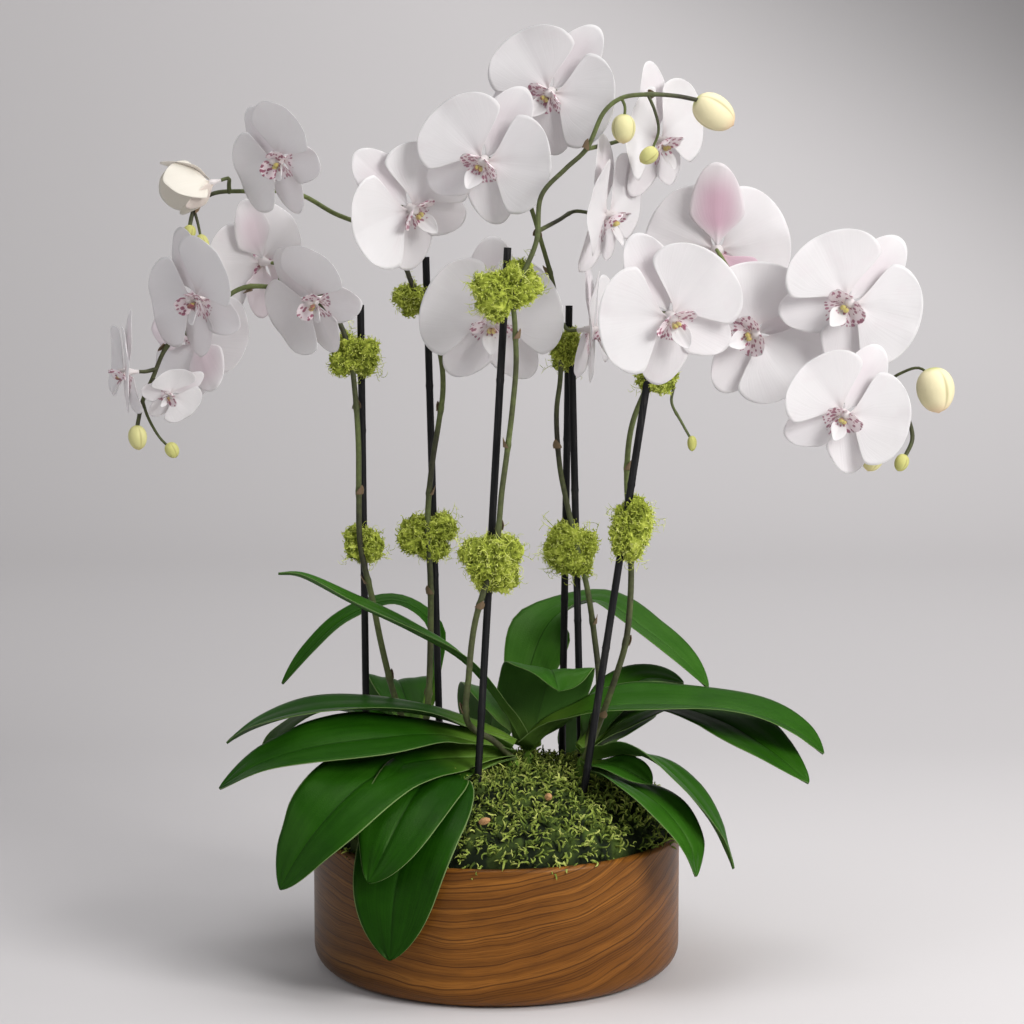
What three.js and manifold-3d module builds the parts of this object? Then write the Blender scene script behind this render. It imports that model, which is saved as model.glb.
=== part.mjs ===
// White moth orchids growing in a turned wooden bowl, with bamboo stakes and moss.
// Millimetres, +Z up, origin at the centre of the bowl's flat base, the front towards -Y.
import * as THREE from 'three';
import { mergeVertices } from 'three/addons/utils/BufferGeometryUtils.js';
import Module from 'manifold-3d';

const wasm = await Module();
wasm.setup();

// Bowl, liner and fill
const BOWL_RADIUS = 160;
const BOWL_HEIGHT = 120;
const BOWL_WALL = 8;
const BOWL_FLOOR = 14;
const BASE_FILLET = 20;
const ROUND_SIDES = 26;
const GAP = 0.3;
const LINER_WALL = 1.2;
const BARK_TOP = 104;
const MOSS_EDGE_HEIGHT = 122;
const MOSS_DOME = 50;
const MOSS_ROUGHNESS = 6.5;
const STAKE_DEPTH = 26;
const CROWN_DEPTH = 86;

// Stakes, stems, leaves and flowers
const STAKE_RADIUS = 3.2;
const STEM_RADIUS = 3;
const STEM_TIP_RADIUS = 2;
const PEDICEL_RADIUS = 1.8;
const CROWN_RADIUS = 9;
const HOLE_CLEARANCE = 0.35;
const STAKE_HOLE_CLEARANCE = 0.65;
const LEAF_THICKNESS = 1.6;
const PETAL_THICKNESS = 0.8;
const BLOOM_SPAN = 125;
const SEAT_DEPTH = 15;
const BUD_ARCHING = 34;
const LIP_RADIUS = BOWL_WALL / 2;

const colours = {
  wood: { color: 0x8a5328, roughness: 0.38, metalness: 0 },
  liner: { color: 0x1c1c1c, roughness: 0.55, metalness: 0 },
  bark: { color: 0x5a3b22, roughness: 0.95, metalness: 0 },
  moss: { color: 0x4f7a24, roughness: 0.95, metalness: 0 },
  clump: { color: 0x9dbf3a, roughness: 0.95, metalness: 0 },
  leaf: { color: 0x1f5a26, roughness: 0.35, metalness: 0 },
  stem: { color: 0x5e7a38, roughness: 0.5, metalness: 0 },
  stake: { color: 0x17171a, roughness: 0.45, metalness: 0 },
  petal: { color: 0xf4f1f0, roughness: 0.55, metalness: 0 },
};

const arrangement = new THREE.Group();

// A repeatable source of random numbers between 0 and 1
function randomSource(seed) {
  let state = seed;
  return () => {
    state = (state * 1664525 + 1013904223) % 4294967296;
    return state / 4294967296;
  };
}

// Turns a closed geometry into a solid that can be joined and cut
function solidOf(geometry) {
  const bare = geometry.clone();
  bare.deleteAttribute('normal').deleteAttribute('uv');
  const merged = mergeVertices(bare, 1e-4);
  const vertProperties = new Float32Array(merged.attributes.position.array);
  const triVerts = new Uint32Array(merged.index.array);
  if (signedVolume(vertProperties, triVerts) < 0) {
    for (let i = 0; i < triVerts.length; i += 3) {
      [triVerts[i + 1], triVerts[i + 2]] = [triVerts[i + 2], triVerts[i + 1]];
    }
  }
  return new wasm.Manifold(new wasm.Mesh({ numProp: 3, vertProperties, triVerts }));
}

function signedVolume(positions, triangles) {
  let sum = 0;
  const corner = [new THREE.Vector3(), new THREE.Vector3(), new THREE.Vector3()];
  for (let i = 0; i < triangles.length; i += 3) {
    corner.forEach((c, k) => c.fromArray(positions, 3 * triangles[i + k]));
    sum += corner[0].dot(corner[1].clone().cross(corner[2]));
  }
  return sum;
}

function joined(solids) {
  return solids.reduce((total, next) => total.add(next));
}

function cut(solid, cutters) {
  return cutters.reduce((rest, cutter) => rest.subtract(cutter), solid);
}

// The largest body of a solid: scraps that a cut leaves loose are dropped
function mainBody(solid) {
  const bodies = solid.decompose();
  return bodies.reduce((best, next) => (next.volume() > best.volume() ? next : best));
}

function geometryOf(solid) {
  const mesh = solid.getMesh();
  const positions = new Float32Array(mesh.numVert * 3);
  for (let i = 0; i < mesh.numVert; i++) {
    positions.set(mesh.vertProperties.subarray(i * mesh.numProp, i * mesh.numProp + 3), 3 * i);
  }
  const geometry = new THREE.BufferGeometry();
  geometry.setAttribute('position', new THREE.BufferAttribute(positions, 3));
  geometry.setIndex(Array.from(mesh.triVerts));
  geometry.computeVertexNormals();
  return geometry;
}

function addPiece(name, solid, colour) {
  const mesh = new THREE.Mesh(geometryOf(solid), new THREE.MeshStandardMaterial(colours[colour]));
  mesh.name = name;
  arrangement.add(mesh);
}

// A round piece about the Z axis from its outline, listed from the axis round to the axis
function turned(outline) {
  const points = outline.map(([radius, height]) => new THREE.Vector2(radius, height));
  return solidOf(new THREE.LatheGeometry(points, ROUND_SIDES).rotateX(Math.PI / 2));
}

function roundCorner(centreRadius, centreHeight, radius, from, to, steps) {
  return Array.from({ length: steps + 1 }, (_, i) => {
    const angle = THREE.MathUtils.degToRad(from + (to - from) * i / steps);
    return [centreRadius + radius * Math.cos(angle), centreHeight + radius * Math.sin(angle)];
  });
}

function vector([x, y, z]) {
  return new THREE.Vector3(x, y, z);
}

// A round rod through a row of stations, with mitred bends and closed ends
function rod(stations, radiusAt, sides) {
  const last = stations.length - 1;
  const positions = [];
  const triangles = [];
  let across = new THREE.Vector3(0.3, 1, 0.2);
  stations.forEach((centre, i) => {
    const before = stations[Math.max(i - 1, 0)];
    const after = stations[Math.min(i + 1, last)];
    const along = after.clone().sub(before).normalize();
    across = across.clone().addScaledVector(along, -across.dot(along)).normalize();
    const side = new THREE.Vector3().crossVectors(along, across);
    for (let k = 0; k < sides; k++) {
      const angle = 2 * Math.PI * k / sides;
      const point = centre.clone()
        .addScaledVector(across, radiusAt(i / last) * Math.cos(angle))
        .addScaledVector(side, radiusAt(i / last) * Math.sin(angle));
      positions.push(point.x, point.y, point.z);
    }
  });
  for (let i = 0; i < last; i++) {
    for (let k = 0; k < sides; k++) {
      const a = i * sides + k;
      const b = i * sides + (k + 1) % sides;
      triangles.push(a, b, a + sides, b, b + sides, a + sides);
    }
  }
  const end = last * sides;
  for (let k = 1; k < sides - 1; k++) {
    triangles.push(0, k + 1, k, end, end + k, end + k + 1);
  }
  const geometry = new THREE.BufferGeometry();
  geometry.setAttribute('position', new THREE.Float32BufferAttribute(positions, 3));
  geometry.setIndex(triangles);
  return solidOf(geometry);
}

function curveThrough(points) {
  return new THREE.CatmullRomCurve3(points, false, 'centripetal');
}

// A thin sheet between two faces: surface(s, t) and the same grid moved by the thickness
function sheet(surface, thicknessAt, columns, rows) {
  const positions = [];
  const triangles = [];
  const across = columns + 1;
  const count = across * (rows + 1);
  for (const side of [0, 1]) {
    for (let i = 0; i <= rows; i++) {
      for (let k = 0; k <= columns; k++) {
        const s = 2 * k / columns - 1;
        const t = 2 * i / rows - 1;
        const point = surface(s, t);
        if (side) point.add(thicknessAt(s, t));
        positions.push(point.x, point.y, point.z);
      }
    }
  }
  for (let i = 0; i < rows; i++) {
    for (let k = 0; k < columns; k++) {
      const a = i * across + k;
      const left = k < columns / 2;
      const pair = left
        ? [[a, a + 1, a + across + 1], [a, a + across + 1, a + across]]
        : [[a, a + 1, a + across], [a + 1, a + across + 1, a + across]];
      for (const [p, q, r] of pair) {
        triangles.push(p, q, r, p + count, r + count, q + count);
      }
    }
  }
  const rim = [];
  for (let k = 0; k < columns; k++) rim.push(k);
  for (let i = 0; i < rows; i++) rim.push(i * across + columns);
  for (let k = columns; k > 0; k--) rim.push(rows * across + k);
  for (let i = rows; i > 0; i--) rim.push(i * across);
  rim.forEach((a, i) => {
    const b = rim[(i + 1) % rim.length];
    triangles.push(a, a + count, b, b, a + count, b + count);
  });
  const geometry = new THREE.BufferGeometry();
  geometry.setAttribute('position', new THREE.Float32BufferAttribute(positions, 3));
  geometry.setIndex(triangles);
  return geometry;
}

// The bowl: a straight-sided turned bowl with a rounded foot and a rounded lip
const innerRadius = BOWL_RADIUS - BOWL_WALL;
addPiece('bowl', turned([
  [0, 0],
  ...roundCorner(BOWL_RADIUS - BASE_FILLET, BASE_FILLET, BASE_FILLET, -90, 0, 3),
  ...roundCorner(BOWL_RADIUS - LIP_RADIUS, BOWL_HEIGHT - LIP_RADIUS, LIP_RADIUS, 0, 180, 3),
  [innerRadius, BOWL_FLOOR],
  [0, BOWL_FLOOR],
]), 'wood');

// The liner: a thin watertight tray that stands in the bowl
const linerRadius = innerRadius - GAP;
const linerFloor = BOWL_FLOOR + GAP;
addPiece('liner', turned([
  [0, linerFloor],
  [linerRadius, linerFloor],
  [linerRadius, BARK_TOP],
  [linerRadius - LINER_WALL, BARK_TOP],
  [linerRadius - LINER_WALL, linerFloor + LINER_WALL],
  [0, linerFloor + LINER_WALL],
]), 'liner');

// Straight bamboo stakes, from the foot in the bark to the top
const stakes = {
  stake_a: { foot: [-115, 47, STAKE_DEPTH], top: [-118, 28, 575] },
  stake_b: { foot: [-48, 85, STAKE_DEPTH], top: [-62, 55, 616] },
  stake_c: { foot: [-24, -61, STAKE_DEPTH], top: [10, -66, 626] },
  stake_d_left: { foot: [57, 79, STAKE_DEPTH], top: [64, 66, 573] },
  stake_d_right: { foot: [79, 63, STAKE_DEPTH], top: [66, 52, 540] },
  stake_e: { foot: [55, -47, STAKE_DEPTH], top: [129, -64, 528] },
};

// A stake, or with some extra radius the hole that it stands in
function stakeSolid(stake, extra) {
  const foot = vector(stake.foot);
  const top = vector(stake.top);
  const down = foot.clone().sub(top).normalize();
  return rod([foot.addScaledVector(down, extra), top], () => STAKE_RADIUS + extra, 6);
}

// Flower stems: the route from the crown to the last bud, with side stems and buds
const stems = {
  stem_a: {
    route: [[-72, 44, 182], [-84, 36, 210], [-92, 30, 236], [-102, 30, 278], [-109, 24, 317],
      [-119, 20, 366], [-120, 18, 411], [-120, 16, 456], [-123, 14, 505], [-127, 13, 535],
      [-138, 12, 564], [-161, 10, 582], [-187, 8, 590], [-219, 2, 590], [-251, -8, 565],
      [-280, -14, 543], [-294, -18, 513], [-302, -20, 495], [-307, -25, 470]],
    twigs: [[[-302, -20, 495], [-298, -21, 482], [-288, -22, 464], [-279, -24, 455]]],
    buds: [{ centre: [-306, -26, 464], axis: [0.1, 0, -1], size: [16, 21] },
      { centre: [-277, -24, 453], axis: [0.5, 0, -1], size: [12, 14] }],
  },
  stem_b: {
    route: [[-66, 50, 182], [-61, 58, 226], [-59, 58, 287], [-59, 54, 333], [-61, 51, 375],
      [-60, 50, 405], [-56, 48, 440], [-51, 46, 470], [-47, 44, 500], [-49, 42, 530], [-60, 40, 566],
      [-74, 38, 594], [-82, 36, 614], [-101, 32, 637], [-140, 28, 654], [-172, 24, 671],
      [-216, 16, 673], [-243, 12, 671], [-257, 10, 662], [-261, 6, 652], [-263, 4, 641]],
    twigs: [[[-259, 8, 656], [-256, 6, 646], [-253, 4, 632]]],
    buds: [{ centre: [-263, 4, 638], axis: [-0.2, 0, -1], size: [11, 13] },
      { centre: [-252, 4, 627], axis: [0.2, 0, -1], size: [12, 19] }],
  },
  stem_c: {
    route: [[15, -23, 184], [-2, -38, 203], [-24, -52, 222], [-23, -62, 265], [-18, -70, 309],
      [-10, -75, 339], [-2, -76, 362], [2, -76, 389], [5, -77, 422], [9, -77, 452], [14, -77, 493],
      [17, -77, 530], [16, -79, 562], [15, -81, 588], [23, -80, 605], [34, -78, 632], [38, -76, 669],
      [58, -74, 691], [75, -72, 707], [90, -70, 738], [104, -68, 749], [124, -66, 752], [150, -60, 751],
      [172, -54, 747]],
    twigs: [[[104, -68, 749], [107, -67, 742], [106, -66, 729]],
      [[126, -66, 752], [132, -66, 738], [135, -66, 722], [129, -66, 705]]],
    buds: [{ centre: [182, -50, 738], axis: [1, 0.1, -0.65], size: [29, 38] },
      { centre: [106, -66, 724], axis: [0, 0, -1], size: [20, 24] },
      { centre: [127, -66, 702], axis: [-0.9, 0, -0.7], size: [14, 17] }],
  },
  stem_d: {
    route: [[77, 3, 182], [84, 24, 206], [91, 54, 236], [87, 60, 280], [80, 50, 325], [71, 44, 361],
      [62, 44, 400], [56, 45, 430], [53, 46, 464], [53, 46, 485], [56, 44, 510], [56, 41, 545],
      [50, 42, 590], [36, 30, 640], [24, 12, 684], [26, 2, 716], [32, -8, 738]],
    twigs: [],
    buds: [],
  },
  stem_e: {
    route: [[77, -7, 182], [87, -22, 210], [103, -40, 261], [111, -46, 292], [115, -46, 345],
      [113, -46, 390], [111, -46, 440], [115, -47, 476], [125, -49, 503], [139, -48, 529],
      [159, -36, 560], [203, -24, 584], [250, -22, 584], [288, -28, 563], [310, -34, 532],
      [332, -42, 508], [346, -50, 486], [351, -56, 466], [343, -63, 449]],
    twigs: [[[329, -41, 511], [341, -48, 520], [356, -54, 525], [368, -60, 516]],
      [[348, -52, 480], [334, -62, 470], [319, -69, 455]],
      [[144, -46, 536], [150, -50, 512], [148, -54, 496], [156, -58, 480], [165, -61, 464]]],
    buds: [{ centre: [369, -61, 507], axis: [0.15, 0, -1], size: [32, 38] },
      { centre: [316, -70, 450], axis: [-0.4, 0, -1], size: [18, 22] },
      { centre: [341, -64, 446], axis: [-0.4, 0, -1], size: [12, 15] },
      { centre: [165, -61, 462], axis: [0, 0, -1], size: [8, 13] }],
  },
};

// Flowers: centre, facing (turn to the right, tilt upwards, roll to the left), span and
// the point along the stem's route, counted in its points, where the side stem leaves
const blooms = {
  bloom_a1: { on: 'stem_a', from: 11, centre: [-155, -22, 580], turn: -40, tilt: -14, roll: 50, span: 104 },
  bloom_a2: { on: 'stem_a', from: 12, centre: [-206, 58, 612], turn: -135, tilt: 5, roll: -30, span: 108 },
  bloom_a3: { on: 'stem_a', from: 14, centre: [-253, -38, 583], turn: -44, tilt: -4, roll: 27, span: 112 },
  bloom_a4: { on: 'stem_a', from: 14.6, centre: [-262, 34, 545], turn: 150, tilt: -20, roll: 140, span: 104 },
  bloom_a5: { on: 'stem_a', from: 15.7, centre: [-315, -26, 520], turn: -72, tilt: 0, roll: 4, span: 92 },
  bloom_a6: { on: 'stem_a', from: 16, centre: [-275, -46, 502], turn: 30, tilt: -30, roll: -60, span: 58 },
  bloom_b1: { on: 'stem_b', from: 9.7, centre: [-4, 0, 561], turn: 0, tilt: 0, roll: 0, span: 128 },
  bloom_b2: { on: 'stem_b', from: 12.6, centre: [-72, -15, 658], turn: 24, tilt: -8, roll: 45, span: 120 },
  bloom_b3: { on: 'stem_b', from: 15.2, centre: [-184, -18, 699], turn: -44, tilt: -8, roll: 45, span: 104 },
  bloom_b4: { on: 'stem_b', from: 16.5, centre: [-243, -6, 680], turn: -66, tilt: -14, roll: 15, span: 76,
    closed: 34 },
  bloom_c1: { on: 'stem_c', from: 15.2, centre: [93, -40, 653], turn: 66, tilt: -6, roll: 10, span: 118 },
  bloom_c2: { on: 'stem_c', from: 18, centre: [138, -6, 716], turn: 52, tilt: -4, roll: 12, span: 116 },
  bloom_d1: { on: 'stem_d', from: 11.4, centre: [84, 28, 553], turn: 78, tilt: 0, roll: -8, span: 116 },
  bloom_d2: { on: 'stem_d', from: 14, centre: [-10, -46, 698], turn: -10, tilt: -4, roll: -28, span: 120 },
  bloom_d3: { on: 'stem_d', from: 16, centre: [46, -34, 755], turn: -12, tilt: -4, roll: -38, span: 116 },
  bloom_e1: { on: 'stem_e', from: 10.2, centre: [144, -100, 570], turn: 10, tilt: -4, roll: 26, span: 128 },
  bloom_e2: { on: 'stem_e', from: 11.3, centre: [217, -52, 554], turn: 6, tilt: 0, roll: -70, span: 124 },
  bloom_e3: { on: 'stem_e', from: 11.2, centre: [192, 34, 622], turn: 176, tilt: 0, roll: 0, span: 132 },
  bloom_e4: { on: 'stem_e', from: 12.8, centre: [293, -72, 580], turn: 6, tilt: 4, roll: -44, span: 126 },
  bloom_e5: { on: 'stem_e', from: 14.4, centre: [287, -104, 490], turn: 8, tilt: 0, roll: -30, span: 112 },
};

// Orchid plants: a short crown in the bark and arching strap leaves, each given by its
// midrib, half width, the way its upper face looks, and how deeply it folds
const plants = {
  plant_front: {
    crown: [14, -20, 192],
    stems: ['stem_c'],
    leaves: [
      { midrib: [[12, -18, 190], [-36, -12, 216], [-92, -20, 228], [-158, -22, 227], [-207, -22, 214],
          [-234, -22, 199]],
        half: 36, face: [0, 0, 1], fold: 0.16, spread: 0.5 },
      { midrib: [[12, -20, 188], [-44, -36, 208], [-104, -68, 212], [-160, -76, 205], [-202, -72, 190],
          [-236, -66, 168]],
        half: 38, face: [0, -0.3, 1], fold: 0.14, spread: 0.48 },
      { midrib: [[12, -22, 186], [-50, -50, 190], [-88, -84, 189], [-118, -118, 178], [-146, -142, 152],
          [-163, -146, 128], [-178, -146, 100]],
        half: 41, face: [-0.1, -0.55, 1], fold: 0.12, spread: 0.42 },
      { midrib: [[12, -23, 184], [-48, -58, 184], [-62, -98, 179], [-76, -134, 162], [-90, -158, 136],
          [-104, -164, 110]],
        half: 36, face: [0.1, -0.5, 1], fold: 0.12, spread: 0.48 },
      { midrib: [[12, -24, 183], [-45, -56, 179], [-56, -104, 170], [-69, -138, 148], [-81, -154, 106],
          [-87, -161, 44]],
        half: 42, face: [0, -0.5, 1], fold: 0.1, spread: 0.56 },
    ],
  },
  plant_middle: {
    crown: [28, 22, 189],
    stems: [],
    leaves: [
      { midrib: [[26, 20, 186], [6, 2, 226], [-27, -8, 268], [-71, -12, 295], [-124, -14, 321],
          [-169, -14, 344], [-188, -14, 346]],
        half: 20, face: [0, 0, 1], fold: 0.2, spread: 0.5 },
      { midrib: [[28, 24, 184], [36, 27, 212], [42, 20, 240], [46, 2, 258], [50, -20, 259],
          [54, -38, 247]],
        half: 41, face: [0, 0.7, 1], fold: 0.1, spread: 0.34 },
      { midrib: [[28, 16, 186], [54, 9, 210], [92, 4, 225], [169, 6, 226], [230, 2, 218], [265, -2, 203],
          [286, -6, 186]],
        half: 38, face: [0, -0.12, 1], fold: 0.22, spread: 0.45 },
      { midrib: [[28, 26, 182], [26, 84, 232], [50, 116, 286], [90, 112, 304], [134, 86, 281],
          [169, 64, 255], [189, 52, 234]],
        half: 34, face: [0.2, -0.1, 1], fold: 0.15, spread: 0.5 },
      { midrib: [[28, 26, 180], [10, 92, 210], [0, 150, 214], [-6, 196, 176], [-8, 214, 140]],
        half: 36, face: [0, 0.3, 1], fold: 0.14, spread: 0.5 },
    ],
  },
  plant_right: {
    crown: [76, -2, 190],
    stems: ['stem_d', 'stem_e'],
    leaves: [
      { midrib: [[78, 4, 186], [98, 56, 214], [132, 80, 237], [168, 72, 235]],
        half: 26, face: [0, -0.2, 1], fold: 0.2, spread: 0.62 },
      { midrib: [[78, 2, 184], [112, 38, 206], [150, 50, 217], [196, 26, 210], [236, -10, 192], [270, -34, 166]],
        half: 34, face: [0, -0.12, 1], fold: 0.12, spread: 0.48 },
      { midrib: [[78, -4, 180], [124, -44, 194], [160, -70, 172], [187, -90, 138], [201, -98, 106]],
        half: 32, face: [0.5, 0.1, 1], fold: 0.12, spread: 0.5 },
      { midrib: [[78, -6, 176], [104, -52, 184], [132, -76, 174]],
        half: 19, face: [0, -0.3, 1], fold: 0.2, spread: 0.5 },
      { midrib: [[78, -6, 171], [112, -68, 172], [142, -98, 157], [163, -114, 130], [168, -118, 104]],
        half: 28, face: [0.4, -0.2, 1], fold: 0.12, spread: 0.5 },
      { midrib: [[78, 4, 180], [110, 84, 200], [104, 146, 190], [80, 188, 152], [76, 202, 122]],
        half: 36, face: [0.2, 0.2, 1], fold: 0.14, spread: 0.5 },
    ],
  },
  plant_back: {
    crown: [-70, 48, 186],
    stems: ['stem_a', 'stem_b'],
    leaves: [
      { midrib: [[-70, 52, 182], [-58, 90, 232], [-57, 108, 280], [-92, 112, 303], [-137, 98, 290],
          [-169, 92, 262], [-195, 88, 231]],
        half: 16, face: [0, -0.3, 1], fold: 0.2, spread: 1 },
      { midrib: [[-70, 54, 178], [-82, 98, 214], [-92, 136, 226], [-100, 168, 208], [-104, 188, 172]],
        half: 30, face: [0, 0.2, 1], fold: 0.15, spread: 0.5 },
      { midrib: [[-72, 48, 176], [-116, 72, 204], [-156, 88, 208], [-192, 96, 186], [-212, 100, 152]],
        half: 34, face: [0, 0.1, 1], fold: 0.14, spread: 0.5 },
    ],
  },
};

// Tufts of pale moss round each stake and stem where they are tied: centre and half sizes
const clumps = {
  clump_a_low: { centre: [-116, 29, 366], half: [20, 17, 22] },
  clump_a_high: { centre: [-124, 21, 533], half: [24, 18, 26] },
  clump_b_low: { centre: [-60, 59, 373], half: [27, 20, 24] },
  clump_b_high: { centre: [-76, 46, 580], half: [17, 15, 15] },
  clump_c_low: { centre: [-3, -70, 361], half: [29, 20, 27] },
  clump_c_high: { centre: [9, -73, 592], half: [29, 20, 27] },
  clump_d_low: { centre: [68, 55, 361], half: [27, 22, 24] },
  clump_d_high: { centre: [60, 52, 534], half: [15, 17, 19] },
  clump_e_low: { centre: [111, -56, 390], half: [24, 22, 27] },
  clump_e_high: { centre: [137, -55, 520], half: [18, 16, 17] },
};

// The place on a stem's route at a number counted in its points, such as 3.5
function routePoint(stem, at) {
  const first = Math.min(Math.floor(at), stem.route.length - 2);
  return vector(stem.route[first]).lerp(vector(stem.route[first + 1]), at - first);
}

// A stem thins towards its tip
function stemRadius(t) {
  return STEM_RADIUS + (STEM_TIP_RADIUS - STEM_RADIUS) * t;
}

function stemRod(stem, extra) {
  const [foot, ...rest] = stem.route.map(vector);
  const down = foot.clone().sub(rest[0]).normalize();
  return rod([foot.addScaledVector(down, extra), ...rest], (t) => stemRadius(t) + extra, 5);
}

function twigRods(stem, extra) {
  return stem.twigs.map((points) => rod(points.map(vector), () => PEDICEL_RADIUS + extra, 4));
}

// The turn that points a flower's face its own way
function facing(bloom) {
  const rad = THREE.MathUtils.degToRad;
  return new THREE.Matrix4().makeRotationFromEuler(
    new THREE.Euler(-rad(bloom.tilt), -rad(bloom.roll), rad(bloom.turn), 'ZXY'),
  );
}

// Where a side stem meets the flat end at the back of a flower
function seatOf(bloom) {
  const scale = bloom.span / BLOOM_SPAN;
  const back = new THREE.Vector3(0, 1, 0).applyMatrix4(facing(bloom));
  const seat = vector(bloom.centre).addScaledVector(back, SEAT_DEPTH * scale + GAP);
  return { seat, back };
}

// The side stem of a flower leaves the main stem and arrives square to the flower's back
function pedicelRod(bloom) {
  const stem = stems[bloom.on];
  const { seat, back } = seatOf(bloom);
  const start = routePoint(stem, bloom.from);
  const reach = start.distanceTo(seat);
  const before = seat.clone().addScaledVector(back, Math.min(14, reach * 0.35));
  return rod([start, before, seat], () => PEDICEL_RADIUS, 4);
}

// A closed bud: an egg on the end of its side stem
function budSolid(bud) {
  const [width, length] = bud.size;
  const egg = new THREE.SphereGeometry(0.5, 6, width > 16 ? 4 : 3).scale(width, length, width);
  const turn = new THREE.Quaternion().setFromUnitVectors(
    new THREE.Vector3(0, 1, 0), vector(bud.axis).normalize(),
  );
  return solidOf(egg.applyQuaternion(turn).translate(...bud.centre));
}

// A flower stem with the side stems of its flowers and its buds, grown in one piece
function stemSolid(name) {
  const stem = stems[name];
  const flowers = Object.values(blooms).filter((bloom) => bloom.on === name);
  return joined([
    stemRod(stem, 0),
    ...flowers.map(pedicelRod),
    ...twigRods(stem, 0),
    ...stem.buds.map(budSolid),
  ]);
}

function smooth(x) {
  const t = THREE.MathUtils.clamp(x, 0, 1);
  return t * t * (3 - 2 * t);
}

// One petal, sepal or lip lobe: a round-ended blade from the flower's centre along +Z,
// its front towards -Y; lift bends it forward, cup raises its edges, wave ripples them
function petalBlade(shape, columns, rows) {
  const surface = (s, t) => {
    const across = s * Math.sqrt(1 - t * t / 2);
    const along = (t * Math.sqrt(1 - s * s / 2) + 1) / 2;
    const narrow = shape.root + (1 - shape.root) * smooth(along / shape.shoulder);
    const width = shape.half * narrow * (1 - shape.taper * smooth(along));
    const forward = shape.lift * along + shape.curl * along * along
      + shape.cup * across * across * along
      + shape.wave * Math.sin(3.1 * across + 2.2 * along) * along;
    return new THREE.Vector3(across * width, shape.depth - forward, along * shape.length);
  };
  return sheet(surface, () => new THREE.Vector3(0, PETAL_THICKNESS, 0), columns, rows);
}

// A flower: two broad petals over three sepals, a column and a three-lobed lip
function bloomSolid(bloom, seed) {
  const random = randomSource(seed);
  const vary = (amount) => (random() - 0.5) * 2 * amount;
  const k = bloom.span / BLOOM_SPAN;
  const closed = THREE.MathUtils.degToRad(bloom.closed ?? 0);
  const arching = bloom.closed ? BUD_ARCHING : 0;
  const rad = THREE.MathUtils.degToRad;
  const placed = (geometry, angle) => solidOf(
    geometry.translate(0, 0, 3 * k).rotateX(closed).rotateY(rad(angle)),
  );
  const petal = (side) => placed(petalBlade({
    length: 58 * k, half: 43 * k * Math.cos(closed), root: 0.08, shoulder: 0.5, taper: 0.08, depth: -2 * k,
    lift: (2 + vary(1.5)) * k, curl: (5 + vary(2) + arching) * k, cup: (4 + vary(2)) * k,
    wave: side * (1.5 + vary(1)) * k,
  }, 2, 3), side * (67 + vary(3)));
  const sepal = (angle, length, half) => placed(petalBlade({
    length: length * k, half: half * k * Math.cos(closed), root: 0.14, shoulder: 0.45, taper: 0.3,
    depth: 2.5 * k, lift: -3 * k, curl: (-3 + vary(2) + arching) * k, cup: 2 * k, wave: vary(1.5) * k,
  }, 2, 2), angle);
  const column = solidOf(new THREE.LatheGeometry([
    [0, -11], [6, -3], [2, SEAT_DEPTH], [0, SEAT_DEPTH],
  ].map(([radius, height]) => new THREE.Vector2(radius * k, height * k)), 5));
  const midLobe = solidOf(petalBlade({
    length: 27 * k, half: 10 * k, root: 0.45, shoulder: 0.5, taper: 0.2, depth: 0,
    lift: 8 * k, curl: 5 * k, cup: 4 * k, wave: 0,
  }, 2, 1).rotateX(rad(180)).scale(1, -1, 1).translate(0, -4 * k, -3 * k));
  const sideLobe = (side) => solidOf(petalBlade({
    length: 19 * k, half: 9 * k, root: 0.5, shoulder: 0.5, taper: 0.1, depth: 0,
    lift: 0, curl: -2 * k, cup: 2 * k, wave: 0,
  }, 1, 1).rotateX(rad(42)).rotateZ(rad(side * 38)).rotateY(rad(side * 52))
    .translate(side * k, -3.5 * k, -2 * k));
  const parts = [column, petal(1), petal(-1), sepal(vary(3), 69, 25), sepal(142 + vary(4), 54, 23),
    sepal(-142 + vary(4), 54, 23)];
  if (!bloom.closed) parts.push(midLobe, sideLobe(1), sideLobe(-1));
  const place = facing(bloom).setPosition(vector(bloom.centre));
  return joined(parts).transform(place.elements);
}

// One strap leaf: a folded blade along its midrib, with a narrow base and a rounded point;
// its spread is the share of its length over which it widens
function leafSolid(leaf) {
  const curve = curveThrough(leaf.midrib.map(vector));
  const face = vector(leaf.face).normalize();
  const frame = (t) => {
    const along = curve.getTangentAt(t);
    const up = face.clone().addScaledVector(along, -face.dot(along)).normalize();
    return { centre: curve.getPointAt(t), up, side: new THREE.Vector3().crossVectors(along, up) };
  };
  const halfWidth = (t) => {
    const swell = 0.28 + 0.72 * smooth(t / leaf.spread);
    const tip = Math.pow(1 - Math.pow(Math.max(0, (t - 0.5) / 0.5), 3), 0.75);
    return Math.max(leaf.half * swell * tip, 1.2);
  };
  const station = (t) => 1 - Math.pow(1 - (t + 1) / 2, 1.25);
  const surface = (s, t) => {
    const at = station(t);
    const { centre, up, side } = frame(at);
    const width = halfWidth(at);
    return centre.addScaledVector(side, s * width).addScaledVector(up, leaf.fold * width * s * s);
  };
  const thickness = (s, t) => {
    const { up } = frame(station(t));
    return up.multiplyScalar(-LEAF_THICKNESS * (1 - 0.35 * s * s));
  };
  return solidOf(sheet(surface, thickness, 2, 6));
}

// The short crown of a plant, or with some extra radius the hole that it stands in
function crownRod(plant, extra) {
  const [x, y, top] = plant.crown;
  const ends = [new THREE.Vector3(x, y, CROWN_DEPTH - extra), new THREE.Vector3(x, y, top)];
  return rod(ends, () => CROWN_RADIUS + extra, 6);
}

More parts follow.
